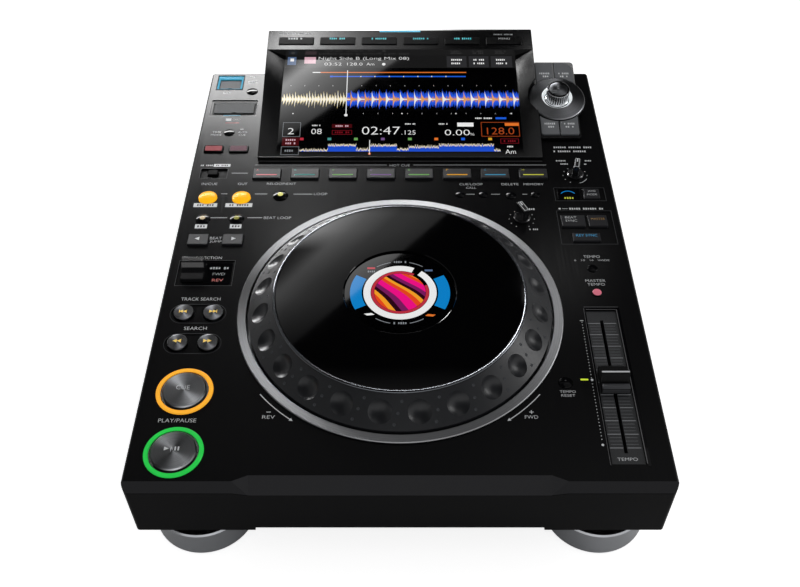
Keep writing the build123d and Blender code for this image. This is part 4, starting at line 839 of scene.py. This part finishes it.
for name, x, bar_x, turn in (("back", -147.2, -150.0, 180), ("forward", -127.6, -124.7, 0)):
    printed(f"track_{name}_arrows", "yellow_ink", ON_DISC, body=f"track_{name}_button",
            bars=[(bar_x, 136.6, 0.5, 2.6)], wedges=[(x + dx, 136.6, 2.6, 2.6, turn) for dx in (-1.3, 1.3)])
for name, x, turn in (("back", -147.3, 180), ("forward", -127.9, 0)):
    printed(f"search_{name}_arrows", "yellow_ink", ON_DISC, body=f"search_{name}_button",
            wedges=[(x + dx, 110.3, 2.8, 3.0, turn) for dx in (-1.4, 1.4)])
for name, x, turn in (("back", -147.7, 180), ("forward", -122.0, 0)):
    printed(f"beat_jump_{name}_arrow", "white_ink", ON_RUBBER_KEY, body=f"beat_jump_{name}_key",
            wedges=[(x, 207.9, 3.2, 3.4, turn)])
printed("cue_print", "white_ink", ON_LIT_DISC, body="cue_button", texts=[("CUE", -137.5, 71.1, 8.6, 3.4)])
printed("play_print", "white_ink", ON_LIT_DISC, body="play_button", wedges=[(-141.0, 24.8, 2.9, 2.8, 0)],
        bars=[(-137.7, 24.8, 0.5, 3.6, -28), (-135.2, 24.8, 0.9, 2.8), (-133.3, 24.8, 0.9, 2.8)])

# ------------------------------------------------------------------ hot cue row
HOT_CUE_STEP = 29.75
for i, colour in enumerate(("red", "teal", "green", "plum", "green", "amber", "sea", "lemon")):
    letter = "ABCDEFGH"[i]
    x = (i - 3.5) * HOT_CUE_STEP
    first = i // 2 * 2 + 1
    bar = plate(x, 279.9, 16.0, 1.1, 1.75, 1.9, 0.3, 0.05)
    sign = words(*ON_RUBBER_KEY, letter, x - 7.7, 285.7, 1.6, 1.9)
    piece(f"hot_cue_light_{letter}", [bar, sign], DECK, f"lit_{colour}", f"hot_cue_keys_{first}_{first + 1}")

# ------------------------------------------------------------------ rotary selector
well = [(10.4, 1.5), (10.55, 1.72), (12.6, 3.98), (12.5, 4.02), (10.4, 1.8), (10.4, 1.5)]
piece("selector_lit_well", [lathe(well, 96)], SELECTOR, "white_light")
GRIP_FACES = 120
knob = lathe([(0, 2.2), (9.9, 2.2), (9.9, 3.1), (9.3, 3.7), (9.3, 12.1), (9.0, 12.7), (8.2, 13.15),
              (7.6, 13.15), (7.5, 12.95), (0, 12.95)], GRIP_FACES)


def in_groove(face):
    """Whether a face of the grip lies in a groove: two faces in four do, all the way round."""
    x, y, z = face.calc_center_median()
    around = int((atan2(y, x) + pi) / (2 * pi) * GRIP_FACES)
    return 4 < z < 12 and abs(face.normal.z) < 0.3 and around % 4 < 2


bpy.ops.object.mode_set(mode="EDIT")
choose("FACE", in_groove)
bpy.ops.mesh.extrude_region_shrink_fatten(TRANSFORM_OT_shrink_fatten={"value": -0.7})
bpy.ops.object.mode_set(mode="OBJECT")
grip = piece("selector_knob_grip", [knob], SELECTOR, "knob_metal", "selector_knob")
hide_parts("selector_knob")
face = [(0, 12.9), (7.45, 12.9), (7.45, 13.0), (7.3, 13.12), (0, 13.12)]
piece("selector_knob_face", [lathe(face, 72)], SELECTOR, "knob_face", "selector_knob")
for name, places in (("back", ((-8.0, 27.4), (8.2, 27.4))), ("front", ((-7.9, -28.8), (8.0, -28.8)))):
    bars = [bar for x, y in places for up, wide in ((1.7, 9.0), (-1.7, 7.0))
            for bar in script_bars(x, y + up, wide, 1.9, int(x + up))]
    printed(f"selector_{name}_key_print", "pale_label_ink", ON_SELECTOR_KEY, SELECTOR,
            f"selector_keys_{name}", bars=bars)

# ------------------------------------------------------------------ knobs, slider and right column
KNOBS = (("vinyl_speed_knob", 137.0, 281.0, -12.0), ("jog_adjust_knob", 91.0, 230.8, 25.0))
for name, x, y, turn in KNOBS:
    where = DECK @ Matrix.Translation((x, y, 0)) @ Matrix.Rotation(radians(turn), 4, "Z")
    printed(f"{name}_inlay", "white_ink", (12.98, 13.04), where, name, bars=[(0, 2.9, 1.0, 3.6)])
    # a white frame round each knob's top: a painted highlight on its edges
    printed(f"{name}_rim", "white_ink", (12.95, 13.03), where, name, boxes=[(0, 0, 3.3, 10.2, 0.38)])
pad = [(67.25, 0.8), (67.25, 3.9), (67.7, 5.0), (68.7, 5.6), (70.8, 5.2), (72.4, 4.3), (72.4, 4.0),
       (68.4, 4.6), (67.7, 4.0), (67.7, 0.8)]
piece("slider_cap_pad", [side_shape(pad, 127.8, 145.2, 0.12)], DECK, "pad", "tempo_slider")
slider_frame = [plate(x, y, wide, long, -0.05, 0.2, 0.0, 0.08) for x, y, wide, long in
                ((126.0, 77.5, 1.2, 128.0), (148.8, 77.5, 2.2, 128.0), (137.5, 140.6, 21.8, 2.6))]
piece("slider_frame", slider_frame, DECK, "gloss")
# pale lines along the slider frame's edges: a painted highlight
printed("slider_frame_edge_highlights", "edge", (0.17, 0.23),
        bars=[(147.75, 77.5, 0.55, 124.0), (137.4, 141.7, 23.4, 0.35), (137.4, 139.4, 20.6, 0.35),
              (125.5, 77.5, 0.25, 126.0)])
printed("slider_cap_line", "white_ink", (10.38, 10.44), body="tempo_slider", bars=[(136.5, 77.2, 17.6, 1.1)])
SCALE_TOP, SCALE_STEP = 127.8, 2.51
major = [(x, SCALE_TOP - 4 * SCALE_STEP * i, wide, 0.45) for i in range(11)
         for x, wide in ((131.2, 8.2), (142.0, 8.4))]
minor = [(x, SCALE_TOP - SCALE_STEP * i, wide, 0.35) for i in range(41) if i % 4
         for x, wide in ((131.6, 7.2), (141.4, 7.4))]
printed("slider_scale_long_lines", "grey_ink", ON_SCALE, bars=major)
printed("slider_scale_short_lines", "faint_ink", ON_SCALE, bars=minor)
printed("slider_tempo_print", "white_ink", ON_SCALE, texts=[("TEMPO", 136.6, 19.3, 12.2, 2.2)])
piece("tempo_zero_light", [plate(118.2, 79.0, 5.1, 1.3, -0.05, 0.12, 0.5, 0.05)], DECK, "led")
cap = [(0, 1.26), (1.2, 1.19), (2.2, 1.01), (3.0, 0.8), (3.1, 0.7), (0, 0.7)]
piece("master_tempo_lit_top", [lathe(cap, 28)], DECK @ Matrix.Translation((136.8, 155.2, 0)), "red_light",
      "tempo_buttons")
piece("jog_mode_window", [plate(129.3, 258.9, 17.0, 12.0, -0.81, -0.2, 0.5, 0.15)], DECK, "gloss")
piece("jog_mode_window_arc", [arc(128.9, 256.4, 5.9, 6.6, *IN_MODE_WINDOW, 34, 146, 24)], DECK, "lit_sky")
printed("jog_mode_window_mark", "lit_lemon", IN_MODE_WINDOW, bars=script_bars(129.1, 254.7, 7.6, 2.2))
for name, material, texts in (
        ("jog_mode_key", "white_ink", [("JOG", 147.0, 261.0, 6.0, 2.0), ("MODE", 146.9, 257.2, 7.6, 2.0)]),
        ("beat_sync", "white_ink", [("BEAT", 127.5, 231.3, 8.4, 2.2), ("SYNC", 127.5, 227.7, 8.6, 2.2)]),
        ("master", "amber_ink", [("MASTER", 147.6, 229.7, 10.4, 2.1)]),
        ("key_sync", "cyan_ink", [("KEY SYNC", 136.9, 211.9, 15.5, 2.4)])):
    printed(f"{name}_print", material, ON_KEY, body="sync_keys", texts=texts)

# ------------------------------------------------------------------ sockets at the back
collar = [(4.2, 0.75), (5.5, 0.75), (5.5, 1.2), (5.3, 1.4), (4.4, 1.4), (4.2, 1.2), (4.2, 0.75)]
for name, x, material in (("left", -62.0, "white_abs"), ("right", -78.0, "red_abs")):
    piece(f"audio_{name}_collar", [lathe(collar, 48)], REAR @ Matrix.Translation((x, 0, 0)), material)
contacts = [plate(18.0 + 1.02 * (i - 3.5), -3.4, 0.45, 0.6, -11.0, -1.2) for i in range(8)]
piece("network_contacts", contacts, REAR, "gold")
piece("usb_b_tongue", [plate(-6.0, 0.0, 5.4, 3.2, -10.0, -0.9, 0.3, 0.2)], REAR, "white_abs")
contacts = [plate(x, y, 1.1, 0.25, -7.5, -1.6) for x in (-7.4, -4.6) for y in (-1.7, 1.7)]
piece("usb_b_contacts", contacts, REAR, "gold")
printed("socket_print", "grey_ink", FLAT, REAR,
        bars=[bar for x, wide in ((-70.0, 22.0), (-36.0, 14.0), (-6.0, 9.0), (18.0, 12.0))
              for bar in script_bars(x, 10.4, wide, 1.8, int(wide))])

# ------------------------------------------------------------------ printing on the deck
TEXTS = [("USB", -148.2, 390.6, 6.7, 2.2), ("CARD", -136.2, 352.7, 6.4, 2.2),
         ("TIME", -150.4, 336.0, 7.3, 2.0), ("MODE", -150.5, 332.4, 8.6, 2.0),
         ("AUTO", -129.2, 335.9, 7.3, 2.0), ("CUE", -129.3, 332.4, 5.5, 2.0),
         ("IN/CUE", -147.7, 270.9, 12.1, 2.5), ("OUT", -122.1, 270.9, 7.3, 2.5),
         ("RELOOP/EXIT", -91.9, 271.1, 22.6, 2.5), ("LOOP", -60.9, 259.1, 10.2, 2.6),
         ("BEAT LOOP", -91.7, 232.1, 20.4, 2.7), ("BEAT", -135.0, 210.1, 8.7, 2.5),
         ("JUMP", -134.6, 206.3, 8.7, 2.5), ("DIRECTION", -137.2, 189.6, 18.5, 2.5),
         ("TRACK SEARCH", -137.5, 149.3, 27.1, 2.8), ("SEARCH", -137.4, 122.5, 15.2, 2.8),
         ("PLAY/PAUSE", -137.8, 47.0, 23.4, 2.8), ("REV", -81.6, 49.6, 7.8, 2.5),
         ("FWD", 81.6, 49.6, 8.2, 2.5), ("HOT CUE", -0.2, 293.4, 15.8, 2.4),
         ("CUE/LOOP", 55.0, 270.5, 18.0, 2.3), ("CALL", 54.9, 266.3, 7.7, 2.2),
         ("DELETE", 85.3, 270.5, 13.2, 2.3), ("MEMORY", 103.5, 270.5, 15.5, 2.3),
         ("TEMPO", 137.8, 190.8, 11.8, 2.5), ("6   10   16   WIDE", 137.5, 187.2, 25.2, 1.6),
         ("MASTER", 137.3, 166.9, 14.1, 2.4), ("TEMPO", 137.3, 163.3, 12.2, 2.4),
         ("TEMPO", 106.4, 69.3, 10.1, 1.9), ("RESET", 106.4, 66.3, 8.8, 1.9)]
LINES = [(-62.7, 293.8, 104.4, 0.35), (63.0, 293.8, 105.1, 0.35), (-81.9, 53.4, 2.7, 0.5),
         (81.9, 53.4, 2.7, 0.5), (81.9, 53.4, 0.5, 2.7), (-134.9, 259.3, 4.8, 0.5), (-106.6, 259.1, 9.6, 0.5),
         (-74.5, 258.9, 14.4, 0.5), (-135.6, 232.2, 12.6, 0.5), (-108.7, 232.2, 11.2, 0.5),
         (54.0, 258.8, 6.7, 0.4), (73.2, 258.8, 6.7, 0.4), (95.7, 258.8, 3.8, 0.4),
         (-125.7, 283.8, 12.7, 0.5), (122.8, 129.4, 2.4, 0.5), (-142.7, 352.7, 4.6, 3.4),
         (124.6, 242.2, 4.0, 0.4)]
SMALL_PRINT = [(-147.1, 395.3, 10.1, 1.5), (-128.2, 414.0, 5.8, 1.8), (-129.7, 339.7, 3.7, 1.2),
               (-152.9, 293.3, 9.9, 1.6), (139.1, 316.0, 30.9, 2.0), (137.1, 310.9, 28.1, 2.0),
               (127.1, 299.0, 9.3, 1.5), (148.7, 299.0, 6.6, 1.5), (130.1, 295.0, 6.3, 1.5),
               (146.7, 294.8, 2.0, 1.5), (140.6, 242.2, 26.0, 2.0), (99.4, 241.7, 4.8, 2.0),
               (98.8, 219.5, 6.8, 1.6)]
bars = LINES + [bar for spot in SMALL_PRINT for bar in script_bars(*spot, seed=int(spot[1]))]
dots = [(122.9, 128.0 - 2.5 * i, 0.3) for i in range(39)]
dots += [(123.1, 78.8, 0.85), (122.9, 28.9, 0.85), (120.6, 242.2, 0.9)]
dots += [(x + 9.4 * sin(radians(a)), y + 9.4 * cos(radians(a)), 0.35) for _, x, y, _ in KNOBS
         for a in range(-150, 151, 30)]
deck_print = [words(*FLAT, *text) for text in TEXTS] + [marks(*FLAT, bars, dots)]
for turn, point in ((233.8, 90), (306.2, -90)):
    tip = Matrix.Translation((*JOG, 0)) @ Matrix.Rotation(radians(turn), 4, "Z")
    tip = tip @ Matrix.Translation((114.6, 0, 0))
    deck_print.append(settle(marks(*FLAT, wedges=[(0, 0, 2.2, 2.2, point)]), tip))
deck_print += [arc(*JOG, 114.35, 114.9, *FLAT, start, start + 14, 12) for start in (219.4, 306.6)]
deck_print.append(arc(137.0, 281.0, 9.1, 9.5, *FLAT, -75, -25, 16))
piece("deck_printing", deck_print, DECK, "white_ink")
BOXES = [(-140.7, 293.3, 13.2, 3.4), (-147.6, 246.3, 17.8, 4.3), (-122.2, 246.3, 20.4, 4.3),
         (-147.6, 222.8, 8.9, 4.4), (-121.9, 222.8, 8.6, 4.4), (-128.3, 406.3, 7.7, 3.6)]
printed("deck_label_boxes", "pale_label_ink", FLAT, bars=BOXES)
printed("deck_label_box_print", "black_ink", (0.02, 0.05),
        bars=[bar for x, y, wide, tall in BOXES
              for bar in script_bars(x, y, wide * 0.74, tall * 0.5, int(wide))])
printed("card_warning_line", "red_ink", FLAT, bars=[(-139.2, 348.3, 11.5, 0.5)])

# ------------------------------------------------------------------ camera, light and floor
fresh()
scene = bpy.context.scene
scene.view_settings.view_transform = "Standard"
camera = bpy.data.cameras.new("camera")
camera.lens = 43.875
camera.sensor_width = 36.0
camera.clip_end = 20
eye = bpy.data.objects.new("camera", camera)
eye.location = (0, -0.5341, 0.5772)
eye.rotation_euler = (radians(43.08), 0, 0)
scene.collection.objects.link(eye)
scene.camera = eye


def lamp(name, place, aim, wide, tall, power):
    """A soft rectangular lamp at a place, turned towards a point."""
    data = bpy.data.lights.new(name, "AREA")
    data.shape = "RECTANGLE"
    data.size, data.size_y, data.energy = wide, tall, power
    holder = bpy.data.objects.new(name, data)
    holder.location = place
    holder.rotation_euler = (Vector(aim) - Vector(place)).to_track_quat("-Z", "Y").to_euler()
    scene.collection.objects.link(holder)


# the room is white where it is looked at or mirrored, and dimmer as a light
world = bpy.data.worlds.new("studio")
world.use_nodes = True
scene.world = world
tree = world.node_tree
ray = add(tree, "LightPath").outputs
seen = add(tree, "Math MAXIMUM", [ray["Is Camera Ray"], ray["Is Glossy Ray"]])
seen = add(tree, "Math MAXIMUM", [seen, ray["Is Transmission Ray"]])
level = add(tree, "MapRange", [seen, 0.0, 1.0, 0.35, 1.0])
feed(tree.nodes["Background"], {"Color": (1, 1, 1, 1), "Strength": level})


def stage_card(name, place, wide, tall, turn, shader):
    """A studio card that only reflections see."""
    fresh()
    bpy.ops.mesh.primitive_plane_add(size=1, location=place, rotation=turn)
    card = bpy.context.object
    card.name = name
    card.scale = (wide, tall, 1)
    bpy.ops.object.transform_apply(location=True, rotation=True, scale=True)
    card.data.materials.append(shader)
    card.visible_camera = False
    card.visible_diffuse = False
    card.visible_shadow = False
    card.visible_transmission = False


def cloth(name, power=0.0):
    """Cloth on a card: white and glowing with a power, black without. Returns the material, its tree
    and its glow."""
    made = bpy.data.materials.new(name)
    made.use_nodes = True
    tree = made.node_tree
    glow = add(tree, "Emission", {"Color": (1, 1, 1, 1), "Strength": power})
    feed(tree.nodes["Material Output"], {"Surface": glow})
    return made, tree, glow


def graded_cloth(name, low, top, at_low, at_top):
    """Lit cloth whose brightness changes with height, in millimetres above the deck."""
    made, tree, glow = cloth(name)
    high = add(tree, "SeparateXYZ", [local_mm(tree, DECK)]).outputs["Z"]
    feed(glow, {"Strength": add(tree, "MapRange", [high, low, top, at_low, at_top])})
    return made


# The panel behind the player ends at a slanted edge, which passes through this x and z and moves left by
# its lean for each millimetre up. Its brightness is laid out between two limits inwards from that edge,
# and between two limits up.
EDGE_X, EDGE_Z, EDGE_LEAN = 73, 658, 0.839
INWARDS, UP = (0.0, 600.0), (250.0, 1000.0)
# its patches: the brightness inwards, the brightness up, and the strength
PATCHES = [
    ([(0, 0.03), (64, 0.055), (81, 0.06), (133, 0.15), (186, 0.36), (230, 1.0), (262, 1.0), (290, 0.12),
      (310, 0.0)],
     [(450, 0.01), (560, 0.02), (620, 0.12), (650, 1.0), (690, 1.0), (735, 0.0)], 18.0),
    ([(0, 0.2), (51, 0.3), (90, 0.45), (140, 0.95), (165, 0.35), (190, 0.12), (260, 0.05), (330, 0.0)],
     [(690, 0.0), (735, 1.0), (800, 0.8), (860, 0.85), (950, 0.5), (1000, 0.3)], 2.4),
    ([(250, 0.0), (380, 0.6), (500, 1.0)],
     [(250, 0.0), (290, 1.0), (360, 1.0), (415, 0.3), (450, 0.0)], 54.0),
    ([(340, 0.0), (400, 1.0), (490, 1.0), (515, 0.0)],
     [(360, 0.0), (415, 0.3), (450, 0.25), (500, 0.07), (550, 0.012), (600, 0.0)], 54.0)]


def soft_panel():
    """Lit cloth behind the player: brightest in a band beside its slanted edge, and low on its far left."""
    made, tree, glow = cloth("soft_panel")
    part = add(tree, "SeparateXYZ", [local_mm(tree, DECK)])
    high = part.outputs["Z"]
    edge = add(tree, "Math MULTIPLY_ADD", [high, -EDGE_LEAN, EDGE_X + EDGE_Z * EDGE_LEAN])
    inside = add(tree, "Math SUBTRACT", [edge, part.outputs["X"]])

    def ramp(value, span, stops):
        low, top = span
        spot = add(tree, "MapRange", [value, low, top])
        return add(tree, "ValToRGB", [spot], [((at - low) / (top - low), tone) for at, tone in stops])

    power = 0.0
    for across, up, strength in PATCHES:
        patch = add(tree, "Math MULTIPLY", [ramp(inside, INWARDS, across), ramp(high, UP, up)])
        power = add(tree, "Math MULTIPLY_ADD", [patch, strength, power])
    lit_side = add(tree, "Math GREATER_THAN", [inside, 0.0])
    feed(glow, {"Strength": add(tree, "Math MULTIPLY", [power, lit_side])})
    return made


UPRIGHT, SIDEWAYS = (pi / 2, 0, 0), (0, pi / 2, 0)
stage_card("flag_above", (0, 0.2, 1.9), 5.0, 5.0, (0, 0, 0), cloth("black_cloth_above")[0])
stage_card("flag_behind", (0, 1.2, 1.1), 5.0, 1.7, UPRIGHT, cloth("black_cloth_behind")[0])
stage_card("flag_left", (-1.6, -0.4, 1.1), 1.7, 3.2, SIDEWAYS, cloth("grey_cloth", 0.3)[0])
stage_card("panel_behind", (-0.20, 0.6865, 0.733), 1.2, 0.8, UPRIGHT, soft_panel())
stage_card("panel_right", (0.285, 0.6860, 0.873), 0.12, 0.18, UPRIGHT,
           graded_cloth("cloth_right", 700.0, 880.0, 6.0, 0.0))
stage_card("panel_above", (0, 0.7, 1.45), 1.6, 0.6, UPRIGHT,
           graded_cloth("cloth_above", 1080.0, 1200.0, 0.0, 0.3))

lamp("lamp_top", (0.55, 0.35, 1.5), (0, 0, 0.05), 0.9, 0.9, 1.4)
lamp("lamp_front", (0.2, -1.6, 1.1), (0, 0, 0.05), 0.8, 0.5, 0.4)
lamp("lamp_right", (1.3, 0.1, 0.75), (0.05, 0, 0.08), 0.3, 0.8, 4.2)

fresh()
bpy.ops.mesh.primitive_plane_add(size=12, location=(0, 2.0, 0))
floor = bpy.context.object
floor.name = "floor"
paper = bpy.data.materials.new("white_paper_sweep")
paper.use_nodes = True
tree = paper.node_tree
matt = add(tree, "BsdfDiffuse", {"Color": "f2f2f2"})
glow = add(tree, "Emission", {"Color": (1, 1, 1, 1), "Strength": 0.8})
both = add(tree, "AddShader", [matt, glow])
looked_at = add(tree, "LightPath").outputs["Is Camera Ray"]
feed(tree.nodes["Material Output"], {"Surface": add(tree, "MixShader", [looked_at, matt, both])})
floor.data.materials.append(paper)

# ------------------------------------------------------------------ finish
bpy.context.view_layer.update()
